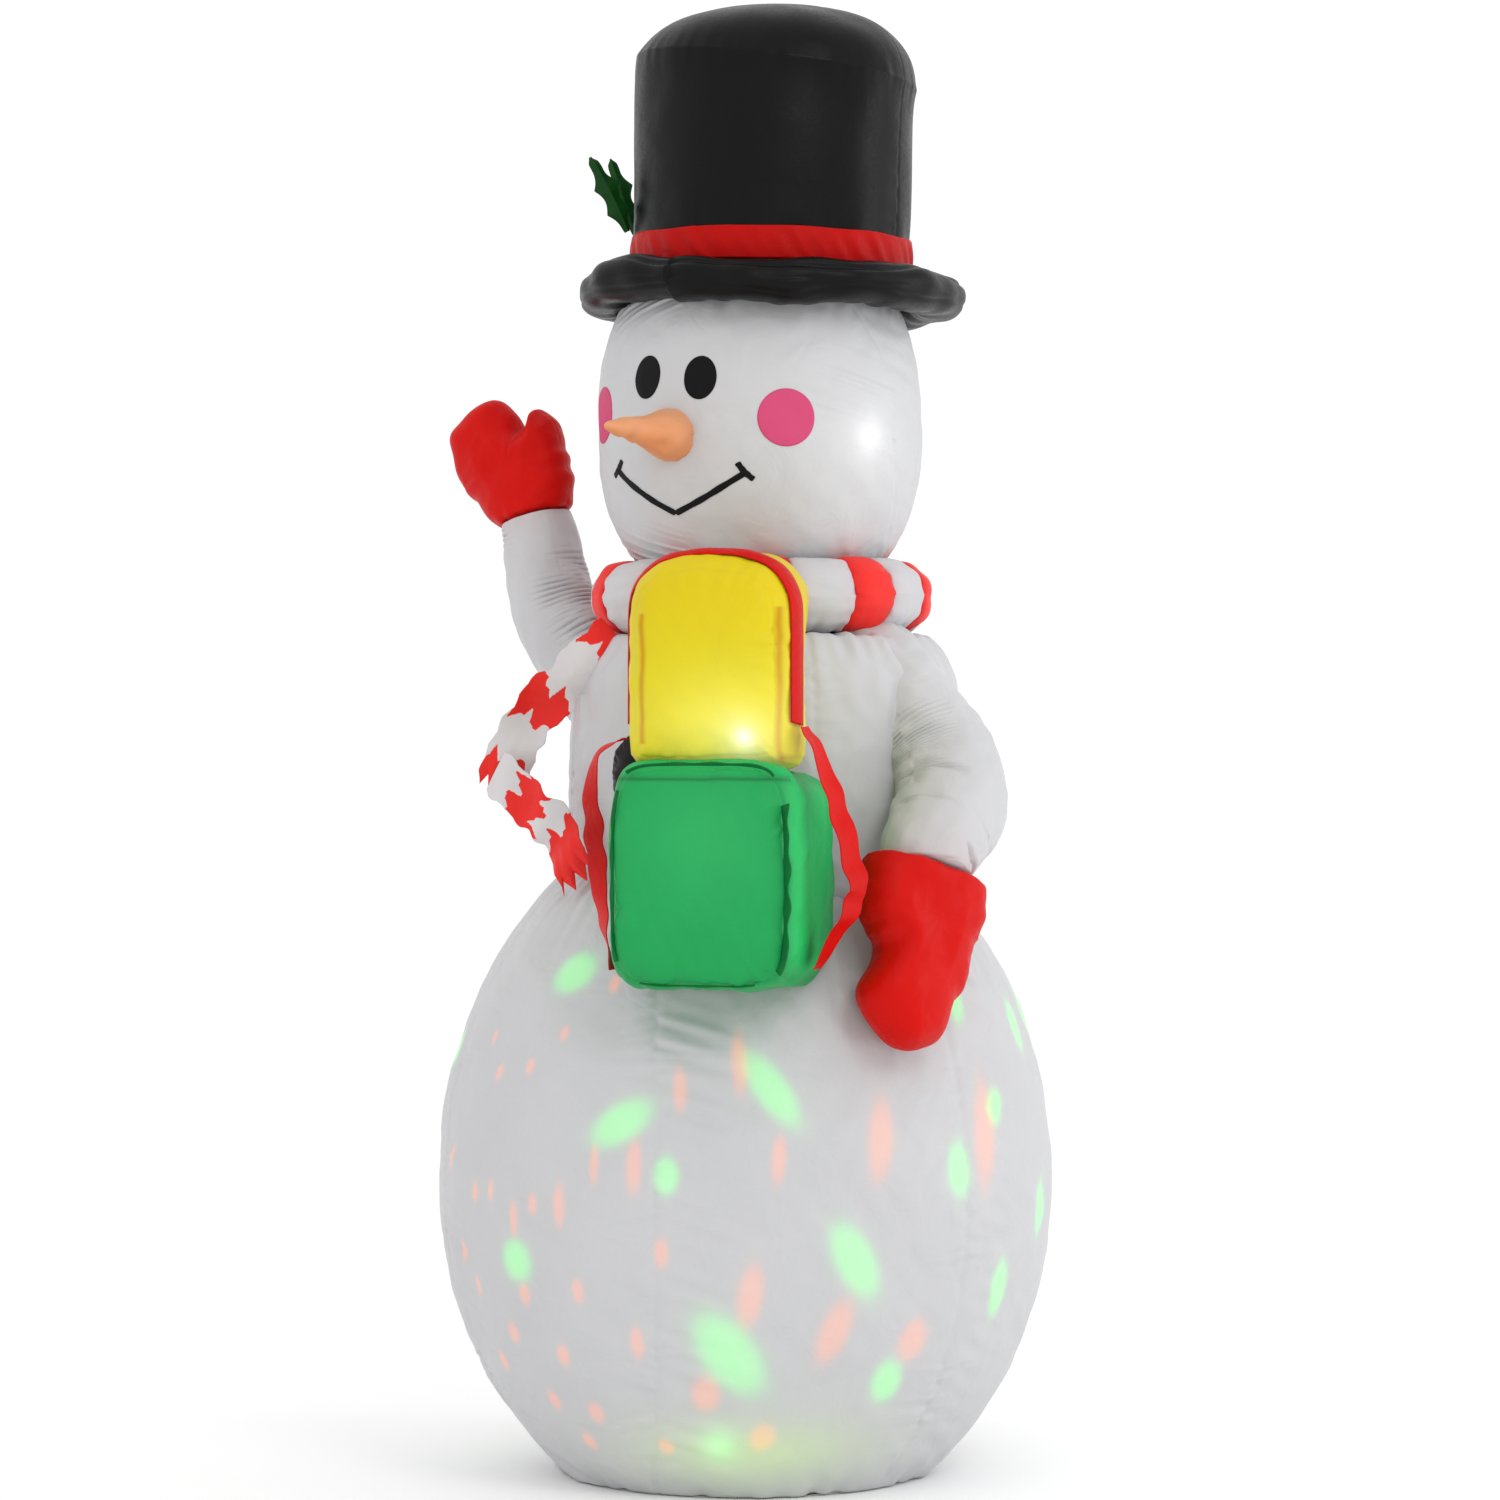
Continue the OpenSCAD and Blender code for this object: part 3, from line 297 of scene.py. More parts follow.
def cloth(name, colour, rough=0.55, sheen=0.15, specular=0.4, weave=1.0, crinkle=1.0, vary=0.06, painted=False):
    """Thin woven polyester: a fine plain weave, soft crinkles and a little unevenness in its dye."""
    m, nt, bsdf = new_material(name)
    place = node(nt, "ShaderNodeTexCoord").outputs["Object"]
    cloudy = node(nt, "ShaderNodeTexNoise", {"Vector": place, "Scale": 9.0, "Detail": 3.0, "Roughness": 0.5})
    fine = node(nt, "ShaderNodeTexNoise", {"Vector": place, "Scale": 260.0, "Detail": 2.0})
    warp = node(nt, "ShaderNodeTexWave", {"Vector": place, "Scale": 210.0, "Distortion": 1.2, "Detail Scale": 3.0},
                wave_type="BANDS", bands_direction="Z")
    weft = node(nt, "ShaderNodeTexWave", {"Vector": place, "Scale": 190.0, "Distortion": 1.2, "Detail Scale": 3.0},
                wave_type="BANDS", bands_direction="DIAGONAL")
    folds = node(nt, "ShaderNodeTexNoise", {"Vector": place, "Scale": 16.0, "Detail": 3.0, "Distortion": 1.4,
                                            "Roughness": 0.45})
    shade = node(nt, "ShaderNodeMapRange", {"Value": cloudy.outputs["Fac"], 1: 0.3, 2: 0.7, 3: 1 - vary,
                                            4: 1 + vary * 0.4})
    crossing = maths(nt, "MULTIPLY", warp.outputs["Fac"], weft.outputs["Fac"])
    thread = node(nt, "ShaderNodeMapRange", {"Value": crossing, 1: 0.0, 2: 1.0, 3: 1.0, 4: 0.97})
    amount = maths(nt, "MULTIPLY", shade.outputs[0], thread.outputs[0])
    if painted:
        ink = node(nt, "ShaderNodeAttribute", attribute_name="tint").outputs["Color"]
        tint = node(nt, "ShaderNodeMix", {0: 1.0, 6: ink, 7: (*colour, 1)}, data_type="RGBA", blend_type="MULTIPLY")
        source = tint.outputs[2]
    else:
        source = node(nt, "ShaderNodeRGB")
        source.outputs[0].default_value = (*colour, 1)
        source = source.outputs[0]
    scaled = node(nt, "ShaderNodeVectorMath", {0: source, "Scale": amount}, operation="SCALE")
    nt.links.new(scaled.outputs[0], bsdf.inputs["Base Color"])
    roughness = node(nt, "ShaderNodeMapRange", {"Value": fine.outputs["Fac"], 1: 0.3, 2: 0.7, 3: rough - 0.05,
                                                4: rough + 0.06})
    nt.links.new(roughness.outputs[0], bsdf.inputs["Roughness"])
    bsdf.inputs["Sheen Weight"].default_value = sheen
    bsdf.inputs["Sheen Roughness"].default_value = 0.45
    bsdf.inputs["Specular IOR Level"].default_value = specular
    # painted light: the glow colour kept on the points is given out as emission
    if painted:
        light = node(nt, "ShaderNodeAttribute", attribute_name="glow").outputs["Color"]
        nt.links.new(light, bsdf.inputs["Emission Color"])
        bsdf.inputs["Emission Strength"].default_value = 1.0
    threads = maths(nt, "ADD", warp.outputs["Fac"], weft.outputs["Fac"])
    height = maths(nt, "MULTIPLY_ADD", threads, 0.00003 * weave,
                   maths(nt, "MULTIPLY", folds.outputs["Fac"], 0.004 * crinkle))
    height = maths(nt, "MULTIPLY_ADD", fine.outputs["Fac"], 0.00006 * weave, height)
    height_to_normal(nt, bsdf, height)
    return m


def moulded(name, colour, rough=0.45, grain=0.00006, scale=900.0, metal=0.0, stretch=(1, 1, 1), vary=0.12,
            clear=0.0):
    """Moulded plastic or metal: a fine grain in the height, and uneven gloss and tone."""
    m, nt, bsdf = new_material(name)
    place = node(nt, "ShaderNodeTexCoord").outputs["Object"]
    mapped = node(nt, "ShaderNodeMapping", {"Vector": place, "Scale": stretch})
    grainy = node(nt, "ShaderNodeTexNoise", {"Vector": mapped.outputs[0], "Scale": scale, "Detail": 3.0})
    worn = node(nt, "ShaderNodeTexNoise", {"Vector": place, "Scale": 38.0, "Detail": 4.0})
    shade = node(nt, "ShaderNodeMapRange", {"Value": worn.outputs["Fac"], 1: 0.3, 2: 0.7, 3: 1 - vary, 4: 1 + vary})
    base = node(nt, "ShaderNodeRGB")
    base.outputs[0].default_value = (*colour, 1)
    scaled = node(nt, "ShaderNodeVectorMath", {0: base.outputs[0], "Scale": shade.outputs[0]}, operation="SCALE")
    nt.links.new(scaled.outputs[0], bsdf.inputs["Base Color"])
    roughness = node(nt, "ShaderNodeMapRange", {"Value": worn.outputs["Fac"], 1: 0.3, 2: 0.7, 3: rough - 0.06,
                                                4: rough + 0.08})
    nt.links.new(roughness.outputs[0], bsdf.inputs["Roughness"])
    bsdf.inputs["Metallic"].default_value = metal
    bsdf.inputs["Transmission Weight"].default_value = clear
    height_to_normal(nt, bsdf, maths(nt, "MULTIPLY", grainy.outputs["Fac"], grain))
    return m


WHITE = rgb(195, 195, 197)
RED = rgb(204, 12, 5)
MAT = {
    "white": cloth("white_polyester", WHITE, painted=True, sheen=0.06, crinkle=0.7, vary=0.03),
    "black": cloth("black_satin", rgb(8, 7, 9), rough=0.36, sheen=0.0, specular=0.14, crinkle=0.25, vary=0.2),
    "red": cloth("red_polyester", RED, rough=0.45, sheen=0.0, specular=0.1, crinkle=0.7, vary=0.08, painted=True),
    "scarf_red": cloth("red_scarf_polyester", rgb(236, 44, 38), rough=0.5, sheen=0.0, specular=0.2, vary=0.06,
                       crinkle=0.6, painted=True),
    "green": cloth("green_polyester", rgb(24, 158, 82), rough=0.45, sheen=0.0, specular=0.2, vary=0.06, crinkle=0.7,
                   painted=True),
    "yellow": cloth("yellow_polyester", rgb(216, 200, 20), rough=0.45, sheen=0.0, specular=0.2, vary=0.04,
                    crinkle=0.7, painted=True),
    "leaf": cloth("leaf_fabric", rgb(14, 72, 18), rough=0.5, sheen=0.0, specular=0.15, vary=0.3),
    "pink": cloth("pink_print", rgb(204, 74, 116), rough=0.6, sheen=0.0, specular=0.15, crinkle=0.4),
    "ink": cloth("black_print", rgb(14, 12, 13), rough=0.5, sheen=0.0, specular=0.12, crinkle=0.4),
    "orange": cloth("orange_polyester", rgb(222, 156, 112), rough=0.5, sheen=0.0, specular=0.2, crinkle=0.5,
                    painted=True),
    "webbing": cloth("black_webbing", rgb(30, 30, 32), rough=0.7, weave=5.0, specular=0.3, crinkle=0.3, vary=0.2),
    "base": cloth("base_fabric", rgb(200, 200, 198), rough=0.7, weave=3.0),
    "sandbag": cloth("sand_bag", rgb(150, 140, 115), rough=0.8, weave=4.0, vary=0.2),
    "tape": cloth("zip_tape", rgb(42, 42, 46), rough=0.75, weave=4.0, crinkle=0.2, vary=0.15),
}


# ------------------------------------------------------------------ camera, light and floor
camera = bpy.data.objects.new("camera", bpy.data.cameras.new("camera"))
bpy.context.scene.collection.objects.link(camera)
eye = Vector(RIGHT * 0.006 + TOWARD * 5.65 + UP * 0.898)
camera.location = eye
camera.rotation_mode = "QUATERNION"
camera.rotation_quaternion = Vector(-TOWARD).to_track_quat("-Z", "Y")
camera.data.lens = 108.5
camera.data.sensor_width = 36
camera.data.clip_end = 200
bpy.context.scene.camera = camera
bpy.context.scene.view_settings.view_transform = "Standard"

world = bpy.data.worlds.new("studio")
world.use_nodes = True
bpy.context.scene.world = world
world.node_tree.nodes["Background"].inputs["Color"].default_value = (1, 1, 1, 1)
world.node_tree.nodes["Background"].inputs["Strength"].default_value = 1.04


def softbox(name, at, size, power, colour=(1, 1, 1)):
    data = bpy.data.lights.new(name, "AREA")
    data.shape, data.size, data.size_y, data.energy, data.color = "RECTANGLE", size[0], size[1], power, colour
    o = bpy.data.objects.new(name, data)
    bpy.context.scene.collection.objects.link(o)
    o.location = at
    o.rotation_mode = "QUATERNION"
    o.rotation_quaternion = (Vector((0, 0, 1.0)) - Vector(at)).to_track_quat("-Z", "Y")


softbox("side_strip", RIGHT * 2.9 + TOWARD * 0.1 + UP * 1.3, (0.4, 2.4), 13, (0.94, 0.97, 1.0))
softbox("front_high", TOWARD * 3.6 + RIGHT * 1.8 + UP * 3.4, (1.6, 1.6), 28)

edge = around(96)
floor = make("studio_floor", np.c_[60 * np.cos(edge), 60 * np.sin(edge), 0 * edge - 0.0005], [list(range(96))])
fm, nt, bsdf = new_material("floor")
bsdf.inputs["Base Color"].default_value = (0.985, 0.985, 0.985, 1)
bsdf.inputs["Roughness"].default_value = 0.9
bsdf.inputs["Specular IOR Level"].default_value = 0.1
floor.data.materials.append(fm)


# ------------------------------------------------------------------ lower ball
# The ball's radius, middle height and half heights, then the other chambers' middles and radii
BALL_R, BALL_Z, BALL_LOW, BALL_HIGH = 0.381, 0.365, 0.450, 0.470
BLOWER_Z = 0.125
HEAD_R, HEAD_Z = 0.203, 1.3
CROWN_R = 0.174
TORSO_AT = RIGHT * 0.025
TORSO_R = 0.244
HEAD_AT = RIGHT * 0.018


def turned(az, r, z, at=(0, 0, 0)):
    """Points at azimuth az (0 in front, growing towards +X), radius r and height z about a vertical axis."""
    az, r, z = np.broadcast_arrays(az, r, z)
    return np.stack([r * np.sin(az), -r * np.cos(az), z], -1) + np.asarray(at)


def wrapped(a):
    return (a + math.pi) % TAU - math.pi


def spot(az, z, r, at_deg, at_z, wide, tall, tilt=0.0):
    """A soft-edged spot of painted light on a round wall, wide by tall metres, tilted in degrees."""
    x, y = wrapped(az - math.radians(at_deg)) * r, z - at_z
    c, s = math.cos(math.radians(tilt)), math.sin(math.radians(tilt))
    a, b = (x * c + y * s) / (wide / 2), (-x * s + y * c) / (tall / 2)
    return 0.5 - 0.5 * np.tanh(3.5 * (np.sqrt(a * a + b * b) - 0.95))


# Spots of coloured light thrown on the ball's skin from inside: azimuth, height, width, tallness, tilt.
GREEN_SPOTS = [
    (-8, 0.63, 0.060, 0.045, 20), (9, 0.46, 0.085, 0.045, 30), (18, 0.40, 0.030, 0.045, 0),
    (37, 0.50, 0.040, 0.100, 35), (52, 0.30, 0.048, 0.100, 30), (29, 0.19, 0.065, 0.115, 35),
    (74, 0.40, 0.038, 0.065, 0), (88, 0.25, 0.034, 0.070, 0), (62, 0.15, 0.040, 0.055, 10),
    (81, 0.60, 0.028, 0.060, -15), (103, 0.56, 0.030, 0.060, -10), (86, 0.47, 0.030, 0.045, -15),
    (102, 0.34, 0.030, 0.065, 0), (-14, 0.29, 0.050, 0.050, 45), (-52, 0.53, 0.040, 0.050, 0),
]
ORANGE_SPOTS = [
    (31, 0.53, 0.020, 0.068, 4), (20, 0.50, 0.016, 0.050, 4), (38, 0.42, 0.018, 0.056, -5),
    (57, 0.44, 0.034, 0.095, -8), (82, 0.44, 0.040, 0.125, -6), (12, 0.41, 0.020, 0.062, 0),
    (4, 0.41, 0.012, 0.046, 0), (17, 0.31, 0.018, 0.036, 0), (33, 0.26, 0.030, 0.074, -8),
    (49, 0.215, 0.036, 0.080, -18), (-3, 0.36, 0.015, 0.052, 0), (-14, 0.34, 0.014, 0.042, 0),
    (-9, 0.36, 0.014, 0.026, 0), (-21, 0.37, 0.014, 0.026, 0), (-27, 0.365, 0.014, 0.026, 0),
    (-38, 0.40, 0.016, 0.030, 0), (-13, 0.25, 0.018, 0.026, 0), (0, 0.26, 0.016, 0.030, 0),
    (-34, 0.29, 0.016, 0.028, 0), (-29, 0.25, 0.014, 0.026, 0), (-19, 0.20, 0.018, 0.026, 0),
    (-6, 0.18, 0.018, 0.026, 0), (11, 0.20, 0.018, 0.038, 0), (-27, 0.16, 0.018, 0.024, 0),
    (-13, 0.12, 0.020, 0.024, 0), (-2, 0.11, 0.020, 0.026, 0), (-8, 0.07, 0.020, 0.022, 0),
    (24, 0.14, 0.034, 0.046, -10), (36, 0.085, 0.030, 0.034, -25), (-22, 0.51, 0.014, 0.020, 0),
    (-13, 0.52, 0.014, 0.020, 0), (-6, 0.56, 0.012, 0.018, 0), (3, 0.62, 0.014, 0.020, 0),
    (-28, 0.55, 0.012, 0.018, 0), (66, 0.20, 0.040, 0.050, -10), (13, 0.07, 0.020, 0.020, 0),
]


def far_spots():
    """The same kind of spots, laid in rows, on the side of the ball that the front list leaves bare."""
    rng = np.random.default_rng(31)
    for row, z in enumerate((0.10, 0.20, 0.31, 0.42, 0.53, 0.63)):
        for i in range(9):
            az = 122 + 19 * i + 9 * (row % 2) + rng.uniform(-5, 5)
            if 150 < az < 212 and z < 0.4:
                continue
            green = (i + 2 * row) % 4 == 0
            w, h = (0.038, 0.075) if green else (0.018, 0.045)
            k = rng.uniform(0.8, 1.3)
            yield green, (az, z + rng.uniform(-0.03, 0.03), w * k, h * k, rng.uniform(-20, 30))


def build_ball():
    a = np.linspace(math.asin(-BALL_Z / BALL_LOW), math.radians(89.4), 330)[:, None]
    az = around(560)[None, :]
    r = BALL_R * np.cos(a)
    z = BALL_Z + np.where(a < 0, BALL_LOW, BALL_HIGH) * np.sin(a) + 0 * az
    z[0] = 0.0014
    r = np.broadcast_to(r, z.shape)
    az = np.broadcast_to(az, z.shape)
    p = turned(az, r, z)
    d = 0.0012 * waves(p, 0.16, 1) + 0.0005 * waves(p, 0.05, 2)
    for k in range(6):
        at = np.full(z.shape, math.radians(16 + 60 * k))
        if k == 0:  # this panel's edge was cut almost straight, so it hangs nearly plumb
            straight = LEAN - np.arcsin(np.clip(0.105 / np.maximum(r, 0.12), 0, 1))
            at = np.where(z < 0.66, straight, at)
        off = wrapped(az - at)
        near = np.abs(off) < 0.6
        d += np.where(near, seam(off * r, z, 0.0021, 0.045, 0.019, 40 + 3 * k), 0)
        d += np.where(near, 0.0011 * bell(off * r - 0.05, 0.04) * ripple(z + 0.3 * off * r, 0.034, 70 + k), 0)
        d += 0.0018 * bell(wrapped(off - math.radians(30)) * r, 0.09)
    # the gathered edge at the foot, and the pinch where the torso is sewn on
    d += 0.0016 * np.exp(-z / 0.02) * ripple(az * 0.23, 0.035, 90)
    torso_gap = np.linalg.norm((p - TORSO_AT)[..., :2], axis=-1) - TORSO_R
    high = z > 0.6
    d += np.where(high, -0.002 * bell(torso_gap, 0.008), 0)
    d += np.where(high, 0.0016 * np.exp(-np.abs(torso_gap) / 0.04) * ripple(az * TORSO_R, 0.024, 91), 0)
    # a shallow flat under the zip, and a calm rim round the blower's sleeve
    behind = wrapped(az - math.pi) * r
    zip_band = np.exp(-(((z - 0.33) / 0.022) ** 4)) / (1 + np.exp((np.abs(behind) - 0.215) / 0.006))
    d = d * (1 - zip_band) - 0.0022 * zip_band
    blower_gap = np.hypot(p[..., 0], z - BLOWER_Z)
    calm = np.where(p[..., 1] > 0, bell(np.maximum(blower_gap - 0.06, 0), 0.02), 0)
    d = d * (1 - calm)
    p = p + normals(p) * d[..., None]
    p[..., 2] = np.maximum(p[..., 2], 0.0014)

    # painted light: the spots of coloured light from inside are painted into the tint and glow colours
    tint, glow = np.ones((*z.shape, 3)), np.zeros((*z.shape, 3))
    far = list(far_spots())
    for item in GREEN_SPOTS + [s for g, s in far if g]:
        m = spot(az, z, r, *item)[..., None] * 0.92
        tint *= 1 - m * (1 - np.array([0.86, 1.0, 0.86]))
        glow += m * np.array([0.0, 0.42, 0.02])
    for item in ORANGE_SPOTS + [s for g, s in far if not g]:
        m = spot(az, z, r, *item)[..., None] * 0.85
        tint *= 1 - m * (1 - np.array([1.0, 0.90, 0.80]))
        glow += m * np.array([0.34, 0.03, 0.0])
    # painted light: a bright green point by the lamp at the foot, and a yellow-green pool round it
    lamp = np.hypot(wrapped(az - math.radians(26)) * r, z - 0.075)
    glow += bell(lamp, 0.022)[..., None] * np.array([0.0, 0.30, 0.05])
    painted_lamp_pool = np.exp(-((wrapped(az - math.radians(34)) * r / 0.13) ** 2) - ((z - 0.065) / 0.04) ** 2)
    tint *= 1 - painted_lamp_pool[..., None] * 0.6 * (1 - np.array([0.98, 1.0, 0.70]))
    glow += painted_lamp_pool[..., None] * np.array([0.05, 0.16, 0.0])
    # painted light: a faint glow from inside, low on the front
    inner = bell(np.hypot(wrapped(az - math.radians(30)) * r / 1.4, z - 0.16), 0.19)
    glow += inner[..., None] * 0.02
    return loft("ball", p, paint={"tint": tint, "glow": glow})


ball = build_ball()
well = loft("well", np.array([[[0.0602 * math.sin(a), y, BLOWER_Z + 0.0602 * math.cos(a)] for a in
            around(96)] for y in (0.238, 0.45)]))
cut_away(ball, well)
finish_piece(ball, MAT["white"], ["lower_ball"])


def build_base():
    r = np.linspace(0.2205, 0.004, 40)[:, None]
    az = around(180)[None, :]
    top = turned(az, r, 0.0008 + 0.00025 * np.clip(waves(turned(az, r, 0), 0.03, 5), -1.5, 1.2))
    bottom = turned(az, r[::-1], 0.0)
    p = np.concatenate([bottom, top], 0)
    return loft("base_cloth", p)


finish_piece(build_base(), MAT["base"], ["base_panel"])


# ------------------------------------------------------------------ arms' paths, used by the torso too
# Each arm's middle line: x, y, z and radius.
RIGHT_ARM = [(-0.160, 0, 0.917, 0.061), (-0.190, 0, 0.955, 0.060), (-0.282, 0, 1.070, 0.0565),
             (-0.318, 0, 1.195, 0.047)]
LEFT_ARM = [(0.150, 0, 1.010, 0.058), (0.190, 0, 0.995, 0.060), (0.272, -0.004, 0.900, 0.066),
            (0.312, -0.034, 0.838, 0.070), (0.322, -0.080, 0.797, 0.064), (0.323, -0.108, 0.776, 0.058),
            (0.325, -0.116, 0.756, 0.054)]


def arm_joint(p, start, end, radius, seed):
    """Puckers on the torso round the place where an arm is sewn on."""
    a, b = np.array(start), np.array(end)
    t = unit(b - a)
    rel = p - a
    along = rel @ t
    side = rel - along[..., None] * t
    gap = np.linalg.norm(side, axis=-1) - radius
    u = unit(np.cross(t, UP))
    v = np.cross(t, u)
    turn = np.arctan2(side @ v, side @ u)
    near = along > -0.05
    return np.where(near, -0.002 * bell(gap, 0.006) + 0.0014 * np.exp(-np.abs(gap) / 0.035)
                    * ripple(turn * radius, 0.035, seed), 0)


def build_torso():
    profile = even(smooth_path([(0.236, 0.63), (0.243, 0.68), (0.2455, 0.80), (0.2445, 0.92), (0.240, 0.972),
                                      (0.229, 1.006), (0.2115, 1.033), (0.200, 1.0395), (0.180, 1.0385),
                                      (0.150, 1.0375), (0.124, 1.038), (0.1125, 1.050), (0.112, 1.090),
                                      (0.1115, 1.127)]), 300)
    az = around(420)[None, :]
    r, z = profile[:, 0][:, None], profile[:, 1][:, None] + 0 * az
    az = np.broadcast_to(az, z.shape)
    p = turned(az, r, z, TORSO_AT)
    d = 0.0011 * waves(p, 0.13, 11) + 0.0004 * waves(p, 0.04, 12)
    for k in range(4):
        off = wrapped(az - math.radians(-44 + 90 * k))
        d += np.where(np.abs(off) < 0.6, seam(off * TORSO_R, z, 0.0016, 0.03, 0.018, 100 + k), 0)
    rho = np.linalg.norm(p[..., :2], axis=-1)
    join = BALL_Z + BALL_HIGH * np.sqrt(np.clip(1 - (rho / BALL_R) ** 2, 0, 1))
    d += -0.0025 * bell(z - join, 0.008)
    d += 0.0016 * np.exp(-np.abs(z - join) / 0.03) * ripple(az * TORSO_R, 0.035, 110)
    d += 0.0010 * np.exp(-np.abs(z - 0.99) / 0.03) * ripple(az * TORSO_R, 0.045, 111)
    d += 0.002 * bell(z - 1.03, 0.02) * ripple(az * 0.2, 0.03, 112)
    d += arm_joint(p, RIGHT_ARM[1][:3], RIGHT_ARM[2][:3], 0.060, 113)
    d += arm_joint(p, LEFT_ARM[1][:3], LEFT_ARM[2][:3], 0.064, 114)
    p = p + normals(p) * d[..., None]
    return loft("torso_bag", p, paint={"tint": (0.985, 0.985, 0.985), "glow": DARK})


finish_piece(build_torso(), MAT["white"], ["torso"])


# ------------------------------------------------------------------ head and face
def head_radius(z):
    h = np.where(z < HEAD_Z, 0.226, 0.240)
    return HEAD_R * np.clip(1 - np.abs((z - HEAD_Z) / h) ** 2.4, 0, 1) ** (1 / 2.4)


def side_seam(z):
    """Azimuth of the seam between the face panel and a side panel."""
    low = math.radians(86) + math.radians(11) * np.clip((1.286 - z) / 0.14, 0, 1.3) ** 1.3
    return low - math.radians(15) * np.clip((z - 1.34) / 0.10, 0, 1.1) ** 1.4


def head_relief(az, z):
    """How far the head's cloth stands off its smooth form."""
    r = head_radius(z)
    p = turned(az, r, z, HEAD_AT)
    d = 0.0009 * waves(p, 0.12, 21) + 0.0003 * waves(p, 0.04, 22)
    for side in (1, -1):
        off = wrapped(az - side * side_seam(z)) * side
        d += np.where(np.abs(off) < 0.7, seam(off * r, z, 0.0012, 0.028, 0.024, 120 + side), 0)
        behind = 1 / (1 + np.exp(-(off * r - 0.012) / 0.006)) * dying(off * r, 0.05)
        d += np.where(np.abs(off) < 0.9, 0.0014 * behind * ripple(z + 0.2 * off * r, 0.034, 123 + side), 0)
    off = wrapped(az - math.pi)
    d += np.where(np.abs(off) < 0.6, seam(off * r, z, 0.0016, 0.03, 0.018, 126), 0)
    # soft level creases on the face's outer side, and gathers at the neck and under the hat
    cheek = bell(wrapped(az - math.radians(66)) * r, 0.06)
    d += 0.0009 * cheek * bell(z - 1.335, 0.03) * ripple(z + 0.05 * az, 0.016, 127)
    d += 0.0014 * dying(z - 1.13, 0.018) * ripple(az * r, 0.034, 128)
    d += 0.0011 * dying(1.44 - z, 0.014) * ripple(az * r, 0.035, 129)
    return d


def head_point(az, z, lift=0.0):
    r = head_radius(z)
    return turned(az, r + head_relief(az, z) + lift, z, HEAD_AT)


def on_head(at_deg, x, z, lift):
    """The point on the head that a flat pattern at that azimuth lands on, x metres across and at height z."""
    a = math.radians(at_deg)
    return head_point(a + np.arcsin(np.clip(x / head_radius(z), -1, 1)), z, lift)


def build_head():
    z = np.r_[1.1275, np.linspace(1.131, 1.449, 300), 1.4505][:, None]
    az = around(480)[None, :]
    z, az = np.broadcast_arrays(z, az)
    p = head_point(az, z)
    p[0] = turned(az[0], 0.120, z[0], HEAD_AT)
    p[-1] = turned(az[-1], 0.150, z[-1], HEAD_AT)
    r = head_radius(z)
    # painted light: a soft glowing patch on the side of the face, put in the glow colour
    core = np.hypot(wrapped(az - math.radians(73)) * r, z - 1.279)
    glow = (0.22 * bell(core, 0.022) + 0.10 * bell(core, 0.055) + 0.04 * bell(core, 0.13))[..., None] * np.ones(3)
    tint = np.ones((*z.shape, 3))
    # painted shade: the tint darkens towards the neck
    low = np.clip((1.18 - z) / 0.05, 0, 1)[..., None]
    tint *= 1 - 0.05 * low
    return loft("head_bag", p, paint={"tint": tint, "glow": glow})


finish_piece(build_head(), MAT["white"], ["head"])


def flange(name, p, out, width, seed, material, wave=0.0012, thick=0.0009, tint=None, pitch=0.03):
    """The raw edge of a seam: a thin wavy fin along the points p that stands out by width along out."""
    s = np.r_[0, np.cumsum(np.linalg.norm(np.diff(p, axis=0), axis=1))]
    t = unit(np.gradient(p, axis=0))
    side = unit(np.cross(t, out))
    rows = np.linspace(-0.35, 1, 7)
    grid = np.stack([p + out * (width * f * (1 + 0.25 * ripple(s, 0.05, seed + 1)))[:, None]
                     + side * (wave * max(f, 0) * ripple(s, pitch, seed))[:, None] for f in rows], 1)
    paint = {"tint": np.ones((*grid.shape[:2], 3)) * (1 if tint is None else np.array(tint)),
             "glow": np.zeros((*grid.shape[:2], 3))}
    return finish_piece(shell(name, grid, thick, paint), MAT[material])


def patch(name, at_deg, outline, centre, material, nodes, rings=14, thick=0.0009, lift=0.0007):
    """A printed patch lying on the head: outline points (x, z) about a centre, both in the face's flat pattern."""
    k = np.linspace(1, 0.03, rings)[:, None]
    x = centre[0] + k * (outline[:, 0] - centre[0])[None, :]
    z = centre[1] + k * (outline[:, 1] - centre[1])[None, :]
    top = on_head(at_deg, x, z, lift)
    bottom = on_head(at_deg, x, z, lift - thick)
    p = np.concatenate([bottom[::-1], top], 0)
    return finish_piece(loft(name, p), MAT[material], nodes)


ring = around(72)
ROLL = math.radians(2.8)
NOSE_Z = 1.2795
for side, label in ((-1, "right"), (1, "left")):
    eye_z = 1.350 - side * HEAD_R * math.sin(math.radians(11)) * math.tan(ROLL)
    across, up = 0.021 * np.cos(ring), 0.0265 * np.sin(ring)
    oval = np.c_[across * math.cos(ROLL) + up * math.sin(ROLL),
                 eye_z + up * math.cos(ROLL) - across * math.sin(ROLL)]
    patch(f"eye_{label}", side * 11, oval, (0, eye_z), "ink", ["eyes"])
    cheek_z = 1.3055 - side * HEAD_R * math.sin(math.radians(41)) * math.tan(ROLL)
    disc = np.c_[0.035 * np.cos(ring), cheek_z + 0.035 * np.sin(ring)]
    patch(f"cheek_{label}", side * 41, disc, (0, cheek_z), "pink", ["cheeks"])


